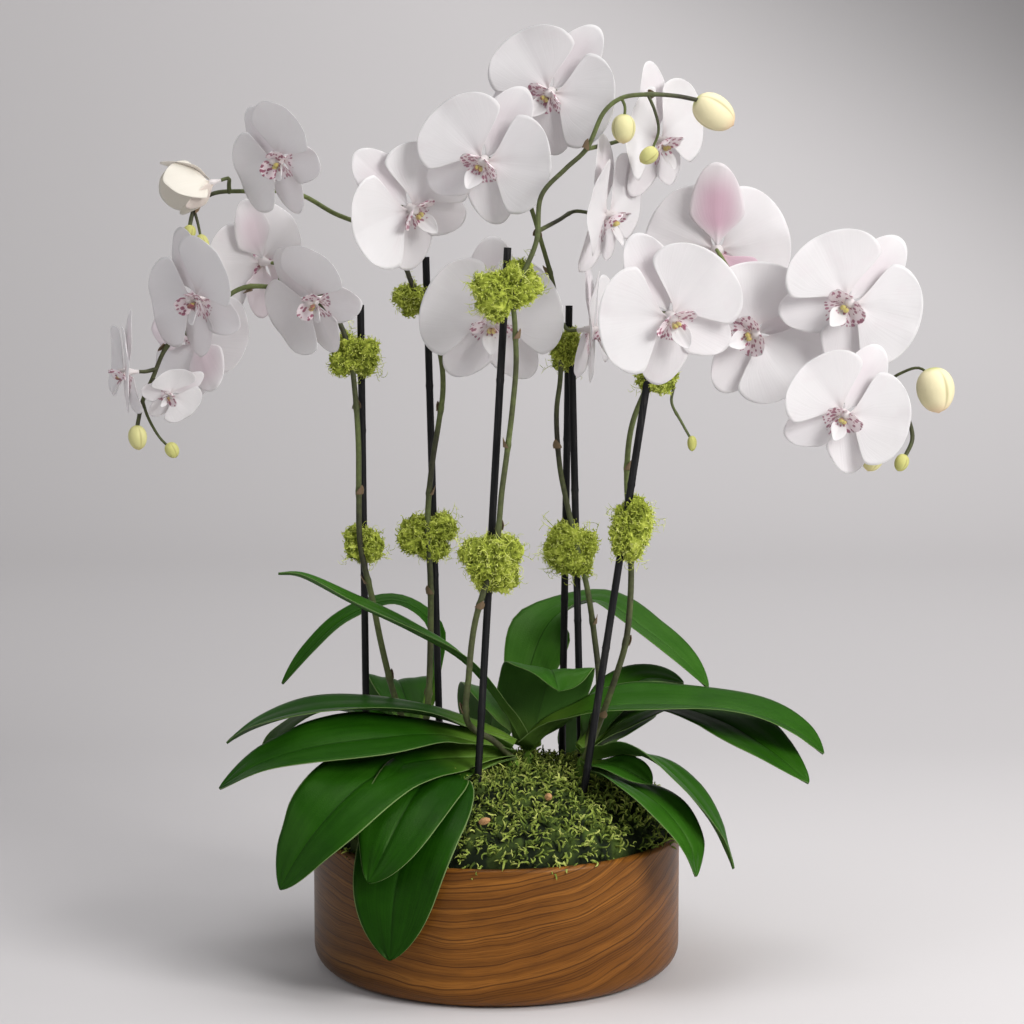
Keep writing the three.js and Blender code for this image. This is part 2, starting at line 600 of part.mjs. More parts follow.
const stakeHoles = Object.values(stakes).map((stake) => stakeSolid(stake, STAKE_HOLE_CLEARANCE));
const crownHoles = Object.values(plants).map((plant) => crownRod(plant, GAP));
const stemHoles = Object.fromEntries(
  Object.entries(stems).map(([name, stem]) => [name, stemRod(stem, HOLE_CLEARANCE)]),
);

// The bark that the plants root in, with plain holes for the stakes and the crowns
const barkRadius = linerRadius - LINER_WALL - GAP;
const barkFloor = linerFloor + LINER_WALL + GAP;
addPiece('bark_mix', cut(turned([
  [0, barkFloor],
  [barkRadius, barkFloor],
  [barkRadius, BARK_TOP],
  [0, BARK_TOP],
]), [...stakeHoles, ...crownHoles]), 'bark');

// The moss bed: a ragged dome of sheet moss over the bark, every point of it up or down a little
function mossBed() {
  const floor = BARK_TOP + GAP;
  const edge = innerRadius - GAP;
  const random = randomSource(7);
  const rings = [0.96, 0.84, 0.7, 0.54, 0.37, 0.19];
  const top = rings.map((ring) => [ring * edge, 1]);
  const outline = [[0, floor], [edge, floor], [edge, BOWL_HEIGHT - 6], ...top, [0, 1]];
  const points = outline.map(([radius, height]) => new THREE.Vector2(radius, height));
  const bare = new THREE.LatheGeometry(points, ROUND_SIDES).rotateX(Math.PI / 2);
  bare.deleteAttribute('normal').deleteAttribute('uv');
  const dome = mergeVertices(bare, 1e-3);
  const position = dome.attributes.position;
  for (let i = 0; i < position.count; i++) {
    if (Math.abs(position.getZ(i) - 1) > 1e-3) continue;
    const part = Math.hypot(position.getX(i), position.getY(i)) / edge;
    const height = MOSS_EDGE_HEIGHT + MOSS_DOME * Math.pow(1 - part * part, 0.6);
    position.setZ(i, height + (random() - 0.5) * 2 * MOSS_ROUGHNESS * Math.min(1, 4 * (1 - part)));
  }
  return solidOf(dome);
}

addPiece('moss_bed', mainBody(cut(mossBed(), [...stakeHoles, ...crownHoles])), 'moss');

for (const [name, stake] of Object.entries(stakes)) {
  addPiece(name, stakeSolid(stake, 0), 'stake');
}

for (const [name, plant] of Object.entries(plants)) {
  const whole = joined([crownRod(plant, 0), ...plant.leaves.map(leafSolid)]);
  addPiece(name, mainBody(cut(whole, plant.stems.map((stem) => stemHoles[stem]))), 'leaf');
}

for (const name of Object.keys(stems)) {
  addPiece(name, stemSolid(name), 'stem');
}

// A clump is a ragged ball whose surface stands up in short tips all round
function clumpSolid(clump, seed) {
  const fineness = Math.max(...clump.half) > 27 ? 2 : 1;
  const random = randomSource(seed);
  const bare = new THREE.IcosahedronGeometry(1, fineness);
  bare.deleteAttribute('normal').deleteAttribute('uv');
  const ball = mergeVertices(bare);
  const position = ball.attributes.position;
  for (let i = 0; i < position.count; i++) {
    const point = new THREE.Vector3().fromBufferAttribute(position, i);
    const reach = random() < 0.42 ? 0.95 + 0.18 * random() : 0.62 + 0.14 * random();
    position.setXYZ(i, ...point.multiplyScalar(reach).toArray());
  }
  return solidOf(ball.scale(...clump.half).translate(...clump.centre));
}

const twigHoles = Object.values(stems).flatMap((stem) => twigRods(stem, HOLE_CLEARANCE));
const throughClumps = [...stakeHoles, ...Object.values(stemHoles), ...twigHoles];
Object.entries(clumps).forEach(([name, clump], i) => {
  addPiece(name, mainBody(cut(clumpSolid(clump, i + 1), throughClumps)), 'clump');
});

Object.entries(blooms).forEach(([name, bloom], i) => {
  addPiece(name, bloomSolid(bloom, 40 + i), 'petal');
});

export default arrangement;
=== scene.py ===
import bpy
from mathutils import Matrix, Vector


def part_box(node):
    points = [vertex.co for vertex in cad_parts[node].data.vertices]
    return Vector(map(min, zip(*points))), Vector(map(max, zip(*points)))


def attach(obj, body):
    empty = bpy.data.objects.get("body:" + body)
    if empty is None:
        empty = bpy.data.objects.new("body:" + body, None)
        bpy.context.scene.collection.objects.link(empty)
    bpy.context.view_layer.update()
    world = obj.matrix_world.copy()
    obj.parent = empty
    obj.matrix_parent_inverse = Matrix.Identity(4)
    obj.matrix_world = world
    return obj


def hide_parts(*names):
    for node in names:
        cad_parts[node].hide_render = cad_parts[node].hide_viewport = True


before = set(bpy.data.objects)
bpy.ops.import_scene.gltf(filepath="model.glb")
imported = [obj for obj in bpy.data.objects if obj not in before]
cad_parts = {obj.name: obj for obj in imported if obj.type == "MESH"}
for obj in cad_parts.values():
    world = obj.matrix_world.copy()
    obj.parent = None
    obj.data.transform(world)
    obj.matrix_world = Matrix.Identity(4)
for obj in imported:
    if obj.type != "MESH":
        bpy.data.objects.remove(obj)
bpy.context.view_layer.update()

import math
import random

import bmesh
import bpy
from mathutils import Euler, Matrix, Vector, noise

MM = 0.001


# The bowl: turned from one block of warm brown hardwood, with a straight wall, a rounded
# foot and a rounded lip, and oiled to a soft gloss. The tree's rings cross it in long curves.
BOWL_RADIUS = -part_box("bowl")[0].y
BOWL_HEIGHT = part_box("bowl")[1].z
BOWL_WALL = 8 * MM
BOWL_FLOOR = 14 * MM
FOOT_ROUND = 20 * MM
FLAT_BASE_RADIUS = BOWL_RADIUS - FOOT_ROUND - 12 * MM
WALL_RINGS = (45 * MM, 80 * MM)
BOWL_SIDES = 160


class Value:
    """A shader socket; Python maths on it adds Math nodes"""

    def __init__(self, finish, socket):
        self.finish = finish
        self.socket = socket

    def maths(self, operation, *others):
        inputs = dict(enumerate((self,) + others))
        return self.finish.node("Math", {"operation": operation}, inputs)

    def __add__(self, other):
        return self.maths("ADD", other)

    __radd__ = __add__

    def __sub__(self, other):
        return self.maths("SUBTRACT", other)

    def __rsub__(self, other):
        return self.finish.node("Math", {"operation": "SUBTRACT"}, {0: other, 1: self})

    def __mul__(self, other):
        return self.maths("MULTIPLY", other)

    def __truediv__(self, other):
        return self.maths("DIVIDE", other)

    def __pow__(self, other):
        return self.maths("POWER", other)

    def step(self, low, high):
        """0 at low, 1 at high and a smooth rise between"""
        return self.finish.node("MapRange", {"interpolation_type": "SMOOTHSTEP"},
                                {"Value": self, "From Min": low, "From Max": high})


class Finish:
    """A material whose nodes are added by type, settings and socket values"""

    def __init__(self, name):
        self.material = bpy.data.materials.new(name)
        self.material.use_nodes = True
        self.tree = self.material.node_tree
        self.tree.nodes.clear()

    def node(self, kind, settings=None, inputs=None, output=0):
        made = self.tree.nodes.new("ShaderNode" + kind)
        for key, setting in (settings or {}).items():
            if key == "stops":
                ramp = made.color_ramp
                while len(ramp.elements) < len(setting):
                    ramp.elements.new(0.5)
                for element, (position, colour) in zip(ramp.elements, setting):
                    element.position = position
                    element.color = (*colour, 1)
            else:
                setattr(made, key, setting)
        for key, value in (inputs or {}).items():
            if isinstance(value, Value):
                self.tree.links.new(value.socket, made.inputs[key])
            else:
                made.inputs[key].default_value = value
        return Value(self, made.outputs[output]) if made.outputs else None

    def place(self, scale=(1, 1, 1)):
        point = self.node("TexCoord", output="Object")
        return self.node("Mapping", {}, {"Vector": point, "Scale": scale})

    def parts(self, vector):
        return [self.node("SeparateXYZ", {}, {"Vector": vector}, output=axis) for axis in "XYZ"]

    def vector(self, x, y, z):
        return self.node("CombineXYZ", {}, {"X": x, "Y": y, "Z": z})

    def attribute(self, name, output="Vector"):
        return self.node("Attribute", {"attribute_name": name}, output=output)

    def noise(self, vector, scale, detail=2.0, roughness=0.5):
        return self.node("TexNoise", {}, {"Vector": vector, "Scale": scale, "Detail": detail,
                                          "Roughness": roughness})

    def grain(self, along, scale, detail=2.0):
        return self.node("TexNoise", {"noise_dimensions": "1D"},
                         {"W": along, "Scale": scale, "Detail": detail})

    def ramp(self, value, stops):
        return self.node("ValToRGB", {"stops": stops}, {"Fac": value})

    def mix(self, amount, first, second, blend="MIX"):
        colours = [c if isinstance(c, Value) else (*c, 1) for c in (first, second)]
        return self.node("Mix", {"data_type": "RGBA", "blend_type": blend},
                         {0: amount, 6: colours[0], 7: colours[1]}, output=2)

    def bump(self, height, distance):
        return self.node("Bump", {}, {"Height": height, "Distance": distance})

    def surface(self, inputs, glow=None, glow_colour=(1, 1, 1)):
        """The finished surface; glow is the share of light that passes through it"""
        shown = self.node("BsdfPrincipled", {}, inputs)
        if glow is not None:
            through = self.node("BsdfTranslucent", {}, {"Color": (*glow_colour, 1)})
            shown = self.node("MixShader", {}, {0: glow, 1: shown, 2: through})
        self.node("OutputMaterial", {}, {"Surface": shown})
        return self.material


def placed(name, data):
    made = bpy.data.objects.new(name, data)
    bpy.context.scene.collection.objects.link(made)
    return made


def mesh_piece(name, points, faces, material):
    """A mesh object at the origin, its faces turned outwards"""
    mesh = bpy.data.meshes.new(name)
    mesh.from_pydata([tuple(p) for p in points], [], faces)
    mesh.materials.append(material)
    shaped = bmesh.new()
    shaped.from_mesh(mesh)
    bmesh.ops.recalc_face_normals(shaped, faces=shaped.faces)
    shaped.to_mesh(mesh)
    shaped.free()
    for polygon in mesh.polygons:
        polygon.use_smooth = True
    return placed(name, mesh)


def hand_over(piece, slot, *nodes):
    """A finished piece rides on the one body and stands for its solids"""
    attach(piece, "root")
    if nodes:
        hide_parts(*nodes)


def arc(centre, height, radius, start, end, steps):
    angles = [math.radians(start + (end - start) * i / steps) for i in range(steps + 1)]
    return [(centre + radius * math.cos(a), height + radius * math.sin(a)) for a in angles]


def circle(radius, height, sides):
    turns = [2 * math.pi * k / sides for k in range(sides)]
    return [(radius * math.cos(turn), radius * math.sin(turn), height) for turn in turns]


def skin(sides, rings):
    """Faces of a round body whose points run from one pole through its rings to the other pole"""
    faces = []
    last = 1 + rings * sides
    for k in range(sides):
        after = (k + 1) % sides
        faces.append((0, 1 + after, 1 + k))
        for a in range(1, last - sides, sides):
            faces.append((a + k, a + after, a + sides + after, a + sides + k))
        faces.append((last - sides + k, last - sides + after, last))
    return faces


def revolve(outline, sides):
    """Points and faces of a round body from an outline that starts and ends on the axis"""
    points = [(0, 0, outline[0][1])]
    for radius, height in outline[1:-1]:
        points += circle(radius, height, sides)
    points.append((0, 0, outline[-1][1]))
    return points, skin(sides, len(outline) - 2)


wood = Finish("oiled_hardwood")
x, y, z = wood.parts(wood.place())
drift = wood.noise(wood.place((5, 5, 9)), 1.0, 3.0)
ripple = wood.noise(wood.place((24, 24, 50)), 1.0, 2.0)
across = x + y * 0.22 + 0.070
rise = z - 0.45
ring = (across * across + rise * rise) ** 0.5 + drift * 0.034 + ripple * 0.0030
bands = wood.grain(ring, 95.0, 3.0)
lines = wood.grain(ring, 460.0, 3.0)
fibre = wood.noise(wood.vector(x * 38, y * 38, ring * 1500), 1.0, 4.0, 0.62)
broad = wood.noise(wood.place((6, 6, 10)), 1.0, 2.0)
heart = wood.ramp(bands, [(0.28, (0.165, 0.060, 0.010)), (0.50, (0.225, 0.083, 0.013)),
                          (0.72, (0.310, 0.120, 0.020))])
streaked = wood.mix(lines.step(0.52, 0.68) * 0.70, heart, (0.050, 0.017, 0.005))
fine = wood.mix(fibre.step(0.44, 0.66) * 0.50, streaked, (0.062, 0.022, 0.006))
toned = wood.mix(broad.step(0.40, 0.66) * 0.45, fine, (0.52, 0.46, 0.42), "MULTIPLY")
# The wood is multiplied darker and cooler towards the bowl's left side: a painted shade.
left_painted_shade = wood.mix((1 - x.step(-0.165, -0.02)) * 0.85, toned, (0.30, 0.36, 0.50), "MULTIPLY")
wood_finish = wood.surface({
    "Base Color": left_painted_shade,
    "Roughness": 0.30 + fibre * 0.16,
    "Specular IOR Level": 0.18,
    "Specular Tint": (1.0, 0.84, 0.62, 1),
    "Coat Weight": 0.04,
    "Coat Roughness": 0.14,
    "Normal": wood.bump(fibre * 0.6 + lines * 0.4, 0.00022),
})

lip = BOWL_WALL / 2
bowl_outline = (
    [(0, 0), (FLAT_BASE_RADIUS, 0)]
    + arc(BOWL_RADIUS - FOOT_ROUND, FOOT_ROUND, FOOT_ROUND, -90, 0, 14)
    + [(BOWL_RADIUS, height) for height in WALL_RINGS]
    + arc(BOWL_RADIUS - lip, BOWL_HEIGHT - lip, lip, 0, 180, 12)
    + [(BOWL_RADIUS - BOWL_WALL, BOWL_FLOOR), (0, BOWL_FLOOR)]
)
bowl = mesh_piece("turned_bowl", *revolve(bowl_outline, BOWL_SIDES), wood_finish)
hand_over(bowl, "wood", "bowl")


# The liner and the bark: a thin black tray keeps the wood dry, and the crowns and the
# stakes stand in the coarse bark that fills it. Both are hidden under the moss.
tray = Finish("black_tray")
speckle = tray.noise(tray.place(), 900.0, 2.0)
tray_finish = tray.surface({
    "Base Color": tray.mix(speckle, (0.012, 0.012, 0.012), (0.028, 0.028, 0.027)),
    "Roughness": 0.45 + speckle * 0.25,
    "Normal": tray.bump(speckle, 0.0002),
})
bark = Finish("bark_chips")
chip = bark.node("TexVoronoi", {"feature": "F1"}, {"Vector": bark.place(), "Scale": 70.0},
                 output="Color")
shade = bark.parts(chip)[0]
crumb = bark.noise(bark.place(), 320.0, 4.0)
bark_finish = bark.surface({
    "Base Color": bark.ramp(shade * 0.6 + crumb * 0.4, [
        (0.2, (0.030, 0.014, 0.007)), (0.5, (0.120, 0.058, 0.027)), (0.8, (0.210, 0.118, 0.060))]),
    "Roughness": 0.82 + crumb * 0.15,
    "Normal": bark.bump(shade + crumb, 0.002),
})
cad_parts["liner"].data.materials[0] = tray_finish
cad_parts["bark_mix"].data.materials[0] = bark_finish


# The stakes: thin bamboo canes stained black, pushed through the moss into the bark. Each
# has low rings where the cane's joints were, and a square-cut top.
STAKE_RADIUS = 3.2 * MM
STAKE_DEPTH = 26
CANE_SIDES = 16
JOINT_RINGS = (-0.006, -0.002, 0, 0.003)
STAKES = {
    "stake_a": ((-115, 47, STAKE_DEPTH), (-118, 28, 575)),
    "stake_b": ((-48, 85, STAKE_DEPTH), (-62, 55, 616)),
    "stake_c": ((-24, -61, STAKE_DEPTH), (10, -66, 626)),
    "stake_d_left": ((57, 79, STAKE_DEPTH), (64, 66, 573)),
    "stake_d_right": ((79, 63, STAKE_DEPTH), (66, 52, 540)),
    "stake_e": ((55, -47, STAKE_DEPTH), (129, -64, 528)),
}


class Recipe:
    """A Geometry Nodes tree with named inputs"""

    def __init__(self, name, inputs):
        self.tree = bpy.data.node_groups.new(name, "GeometryNodeTree")
        self.sockets = {}
        for title, kind in {"Geometry": "Geometry", **inputs}.items():
            self.sockets[title] = self.socket(title, "INPUT", kind)
        self.socket("Geometry", "OUTPUT", "Geometry")
        self.given = self.tree.nodes.new("NodeGroupInput")

    def socket(self, title, in_out, kind):
        made = self.tree.interface.new_socket(title, in_out=in_out, socket_type="NodeSocket" + kind)
        return made.identifier

    def node(self, kind, settings=None, inputs=None):
        made = self.tree.nodes.new(kind)
        for key, setting in (settings or {}).items():
            setattr(made, key, setting)
        for key, value in (inputs or {}).items():
            if isinstance(value, bpy.types.Node):
                value = value.outputs[0]
            if isinstance(value, bpy.types.NodeSocket):
                self.tree.links.new(value, made.inputs[key])
            else:
                made.inputs[key].default_value = value
        return made

    def end(self, geometry):
        realized = self.node("GeometryNodeRealizeInstances", {}, {"Geometry": geometry})
        painted = self.node("GeometryNodeSetMaterial", {}, {
            "Geometry": realized, "Material": self.given.outputs["Material"]})
        self.node("NodeGroupOutput", {}, {0: painted})

    def apply(self, source, name, **values):
        """Runs the tree on an object and gives the result as a plain mesh object"""
        modifier = source.modifiers.new("recipe", "NODES")
        modifier.node_group = self.tree
        for title, value in values.items():
            modifier[self.sockets[title.replace("_", " ")]] = value
        bpy.context.view_layer.update()
        seen = source.evaluated_get(bpy.context.evaluated_depsgraph_get())
        mesh = bpy.data.meshes.new_from_object(seen)
        mesh.name = name
        source.modifiers.remove(modifier)
        bpy.data.objects.remove(source)
        return placed(name, mesh)


# A rod swept along curves whose points carry its radius, with closed ends
rods = Recipe("rods", {"Sides": "Int", "Material": "Material"})
round_section = rods.node("GeometryNodeCurvePrimitiveCircle", {}, {
    "Resolution": rods.given.outputs["Sides"], "Radius": 1.0})
swept = rods.node("GeometryNodeCurveToMesh", {}, {
    "Curve": rods.given.outputs["Geometry"], "Profile Curve": round_section,
    "Scale": rods.node("GeometryNodeInputRadius"), "Fill Caps": True})
rods.end(rods.node("GeometryNodeSetShadeSmooth", {}, {"Geometry": swept}))


def curve_object(name, lines):
    """A curve object; each line is a list of (point, radius)"""
    data = bpy.data.curves.new(name, "CURVE")
    data.dimensions = "3D"
    for line in lines:
        spline = data.splines.new("POLY")
        spline.points.add(len(line) - 1)
        for knot, (point, radius) in zip(spline.points, line):
            knot.co = (*point, 1)
            knot.radius = radius
    return placed(name, data)


def cane_line(foot, top, seed):
    """Points and radii down a cane: even, with a low ring at each joint"""
    draw = random.Random(seed)
    start = Vector(foot) * MM
    end = Vector(top) * MM
    joints = [0.30 + draw.uniform(-0.05, 0.05), 0.52, 0.78 + draw.uniform(-0.04, 0.04)]
    even = {i / 60 for i in range(61)}
    heights = sorted(even | {joint + ring for joint in joints for ring in JOINT_RINGS})
    line = []
    for height in heights:
        ring_rise = sum(0.11 * math.exp(-((height - joint) / 0.003) ** 2) for joint in joints)
        worn = 0.02 * noise.noise(Vector((height * 9, seed, 0)))
        line.append((start.lerp(end, height), STAKE_RADIUS * (1 + ring_rise + worn)))
    return line


cane = Finish("black_cane")
px, py, pz = cane.parts(cane.place())
streak = cane.noise(cane.vector(px * 900, py * 900, pz * 14), 1.0, 3.0)
patch = cane.noise(cane.place(), 45.0, 2.0)
cane_finish = cane.surface({
    "Base Color": cane.ramp(streak * 0.6 + patch * 0.4, [
        (0.30, (0.003, 0.003, 0.004)), (0.55, (0.010, 0.010, 0.011)),
        (0.75, (0.040, 0.037, 0.035))]),
    "Roughness": 0.36 + streak * 0.22,
    "Specular IOR Level": 0.20,
    "Normal": cane.bump(streak, 0.0002),
})
for number, (node, (foot, top)) in enumerate(STAKES.items()):
    source = curve_object(node + "_line", [cane_line(foot, top, number)])
    piece = rods.apply(source, "cane_" + node[6:], Sides=CANE_SIDES, Material=cane_finish)
    hand_over(piece, "stake", node)


# The moss bed: a cushion of green sheet moss laid over the bark up to the bowl's lip. It is
# a mat of short branching shoots, light at their tips and dark between, with a few seed husks.
MOSS_EDGE_HEIGHT = 122 * MM
MOSS_DOME = 50 * MM
MOSS_FLOOR = 104.3 * MM
MOSS_WALL_TOP = BOWL_HEIGHT - 6 * MM
MOSS_RADIUS = BOWL_RADIUS - BOWL_WALL - 0.3 * MM
MOSS_SIDES = 150
MOSS_RINGS = 44
HUSK_TONE = 2.0


def mark(mesh, name, values):
    stored = mesh.attributes.new(name, "FLOAT", "POINT")
    stored.data.foreach_set("value", values)


def shoot(shape, start, heading, length, width, bend, hook, steps, low, high):
    """One three-sided shoot that curls about bend and thins to its tip, in (points, faces, tips)"""
    points, faces, tips = shape
    side = heading.orthogonal().normalized()
    place = start.copy()
    first = len(points)
    for step in range(steps):
        part = step / steps
        other = heading.cross(side).normalized()
        side = other.cross(heading).normalized()
        for k in range(3):
            turn = 2 * math.pi * k / 3
            spoke = side * math.cos(turn) + other * math.sin(turn)
            points.append(place + spoke * width * (1 - 0.45 * part))
            tips.append(low + (high - low) * part)
        place = place + heading * (length / steps)
        heading = (Matrix.Rotation(hook, 3, bend) @ heading).normalized()
    points.append(place)
    tips.append(high)
    faces.append((first + 2, first + 1, first))
    for step in range(steps - 1):
        a = first + 3 * step
        for k in range(3):
            after = (k + 1) % 3
            faces.append((a + k, a + after, a + 3 + after, a + 3 + k))
    a = first + 3 * (steps - 1)
    for k in range(3):
        faces.append((a + k, a + (k + 1) % 3, len(points) - 1))


def sprig(name, seed, length, width, forks, curl, steps):
    """A small branching shoot that stands on the origin"""
    draw = random.Random(seed)
    shape = ([], [], [])

    def loose(size):
        return Vector([draw.uniform(-size, size) for _ in range(3)])

    foot = Vector((0, 0, -length * 0.12))
    stem_heading = (Vector((0, 0, 1)) + loose(0.35)).normalized()
    shoot(shape, foot, stem_heading, length, width, loose(1).normalized(),
          draw.uniform(0.5, 1) * curl, steps, 0, 1)
    for fork in range(forks):
        level = 0.15 + 0.6 * (fork + draw.random()) / forks
        turn = fork * 2.4 + seed
        heading = Vector((math.cos(turn), math.sin(turn), 0.8)).normalized()
        start = stem_heading * length * level
        reach = length * draw.uniform(0.40, 0.62)
        shoot(shape, start, heading, reach, width * 0.75, loose(1).normalized(),
              curl, steps - 1, level * 0.7, 1)
    points, faces, tips = shape
    mesh = bpy.data.meshes.new(name)
    mesh.from_pydata([tuple(p) for p in points], [], faces)
    mark(mesh, "tip", tips)
    return bpy.data.objects.new(name, mesh)


def sprig_set(name, count, **shape):
    kinds = bpy.data.collections.new(name)
    for seed in range(count):
        kinds.objects.link(sprig(f"{name}_{seed}", seed, **shape))
    return kinds


# Shoots of several kinds set close together over a surface, each turned and sized at random
mat_of_shoots = Recipe("mat_of_shoots", {
    "Shoots": "Collection", "Spacing": "Float", "Density": "Float", "Least Upward": "Float",
    "Smallest": "Float", "Largest": "Float", "Seed": "Int", "Material": "Material"})
wanted = mat_of_shoots.given.outputs
step = mat_of_shoots.node
upward = step("ShaderNodeSeparateXYZ", {}, {"Vector": step("GeometryNodeInputNormal")})
open_to_air = step("FunctionNodeCompare", {"data_type": "FLOAT", "operation": "GREATER_THAN"}, {
    0: upward.outputs["Z"], 1: wanted["Least Upward"]})
spots = step("GeometryNodeDistributePointsOnFaces", {"distribute_method": "POISSON"}, {
    "Mesh": wanted["Geometry"], "Selection": open_to_air, "Distance Min": wanted["Spacing"],
    "Density Max": wanted["Density"], "Seed": wanted["Seed"]})
kinds = step("GeometryNodeCollectionInfo", {}, {
    "Collection": wanted["Shoots"], "Separate Children": True, "Reset Children": True})
lean = step("FunctionNodeRandomValue", {"data_type": "FLOAT_VECTOR"}, {
    0: (-0.75, -0.75, 0.0), 1: (0.75, 0.75, 6.28), "Seed": wanted["Seed"]})
turned = step("FunctionNodeRotateRotation", {"rotation_space": "LOCAL"}, {
    "Rotation": spots.outputs["Rotation"], "Rotate By": lean})
size = step("FunctionNodeRandomValue", {"data_type": "FLOAT"}, {
    2: wanted["Smallest"], 3: wanted["Largest"], "Seed": wanted["Seed"]})
planted = step("GeometryNodeInstanceOnPoints", {}, {
    "Points": spots, "Instance": kinds, "Pick Instance": True, "Rotation": turned,
    "Scale": size.outputs[1]})
tone = step("FunctionNodeRandomValue", {"data_type": "FLOAT"}, {"Seed": 5})
toned_shoots = step(
    "GeometryNodeStoreNamedAttribute", {"data_type": "FLOAT", "domain": "INSTANCE"},
    {"Geometry": planted, "Name": "tone", "Value": tone.outputs[1]})
# The ground under the shoots gets a low tone, painted dark as the shade between the shoots.
ground = step("GeometryNodeStoreNamedAttribute", {"data_type": "FLOAT", "domain": "POINT"}, {
    "Geometry": wanted["Geometry"], "Name": "tone", "Value": 0.1})
together = step("GeometryNodeJoinGeometry", {}, {"Geometry": toned_shoots})
mat_of_shoots.tree.links.new(ground.outputs[0], together.inputs[0])
mat_of_shoots.end(together)


def moss_finish(name, deep, middle, bright, pale, glow):
    """Moss: dark at the root of a shoot, partly its own colour and partly painted shade, lighter
    and yellower at its tip; husks are tan
    """
    moss = Finish(name)
    tip = moss.attribute("tip", "Fac")
    own = moss.attribute("tone", "Fac")
    clouds = moss.noise(moss.place(), 34.0, 2.0)
    crumbs = moss.noise(moss.place(), 420.0, 2.0)
    level = tip * 0.50 + own * 0.46 + clouds * 0.50 + crumbs * 0.14 - 0.30
    green = moss.ramp(level, [(0.08, deep), (0.34, middle), (0.64, bright), (0.96, pale)])
    husk = moss.mix(crumbs, (0.460, 0.220, 0.085), (0.620, 0.380, 0.190))
    return moss.surface({
        "Base Color": moss.mix(own.step(1.4, 1.6), green, husk),
        "Roughness": 0.80 + crumbs * 0.15,
        "Specular IOR Level": 0.25,
        "Normal": moss.bump(crumbs, 0.0005),
    }, glow=glow, glow_colour=bright)


def moss_height(radius, angle):
    """The top of the mat at a place, in metres, and how light the mat is painted there, darker in
    its dips as a painted shade
    """
    part = radius / MOSS_RADIUS
    dome = MOSS_EDGE_HEIGHT + 2.5 * MM + (MOSS_DOME - 2.5 * MM) * max(0, 1 - part * part) ** 0.6
    spot = Vector((radius * math.cos(angle), radius * math.sin(angle), 0.1))
    hummock = noise.noise(spot * 26)
    crumple = noise.noise(spot * 105)
    calm = min(1, 4 * (1 - part))
    return dome + (hummock * 6 * calm + crumple * 4.5) * MM, 0.08 + 0.8 * crumple


def moss_ground(name, material):
    """The mat under the shoots, from the bark to the moss bed's uneven top, painted dark as the
    shade between them
    """
    points = [(0, 0, MOSS_FLOOR)]
    points += circle(MOSS_RADIUS, MOSS_FLOOR, MOSS_SIDES)
    points += circle(MOSS_RADIUS, MOSS_WALL_TOP, MOSS_SIDES)
    tips = [0] * len(points)
    for i in range(MOSS_RINGS + 1):
        radius = MOSS_RADIUS * 0.985 * (1 - i / MOSS_RINGS)
        for k in range(MOSS_SIDES if i < MOSS_RINGS else 1):
            turn = 2 * math.pi * k / MOSS_SIDES
            height, tip = moss_height(radius, turn)
            points.append((radius * math.cos(turn), radius * math.sin(turn), height))
            tips.append(tip)
    ground = mesh_piece(name, points, skin(MOSS_SIDES, MOSS_RINGS + 2), material)
    mark(ground.data, "tip", tips)
    return ground


def husk(name, place, lean, material):
    """A small tan seed husk that fell on the moss"""
    points, faces = revolve([(0, -6), (2.2, -4.6), (3.2, -1), (2.9, 2), (1.6, 5), (0, 6.5)], 10)
    turn = Euler(lean).to_matrix()
    dropped = [(turn @ Vector(p) + Vector(place)) * MM for p in points]
    body = mesh_piece(name, dropped, faces, material)
    mark(body.data, "tone", [HUSK_TONE] * len(points))
    return body


def join(name, parts):
    """Joins finished meshes in one object"""
    bpy.ops.object.select_all(action="DESELECT")
    for part in parts:
        part.select_set(True)
    bpy.context.view_layer.objects.active = parts[0]
    bpy.ops.object.join()
    parts[0].name = name
    parts[0].data.name = name
    return parts[0]


green_moss = moss_finish("sheet_moss", (0.006, 0.012, 0.003), (0.062, 0.100, 0.014),
                         (0.270, 0.345, 0.055), (0.560, 0.590, 0.170), glow=0.06)
shoots = sprig_set("moss_shoot", 14, length=15 * MM, width=1.35 * MM, forks=2, curl=0.72, steps=5)
mat = mat_of_shoots.apply(
    moss_ground("moss_ground", green_moss), "moss_mat", Shoots=shoots, Spacing=4.65 * MM,
    Density=90000.0, Least_Upward=0.25, Smallest=0.60, Largest=1.10, Seed=3, Material=green_moss)
husks = [husk("husk_front", (-9, -139, 156), (0.6, 1.1, 0), green_moss),
         husk("husk_middle", (44, -114, 171), (1.2, 0.3, 0), green_moss)]
hand_over(join("sheet_moss_bed", [mat] + husks), "moss", "moss_bed")


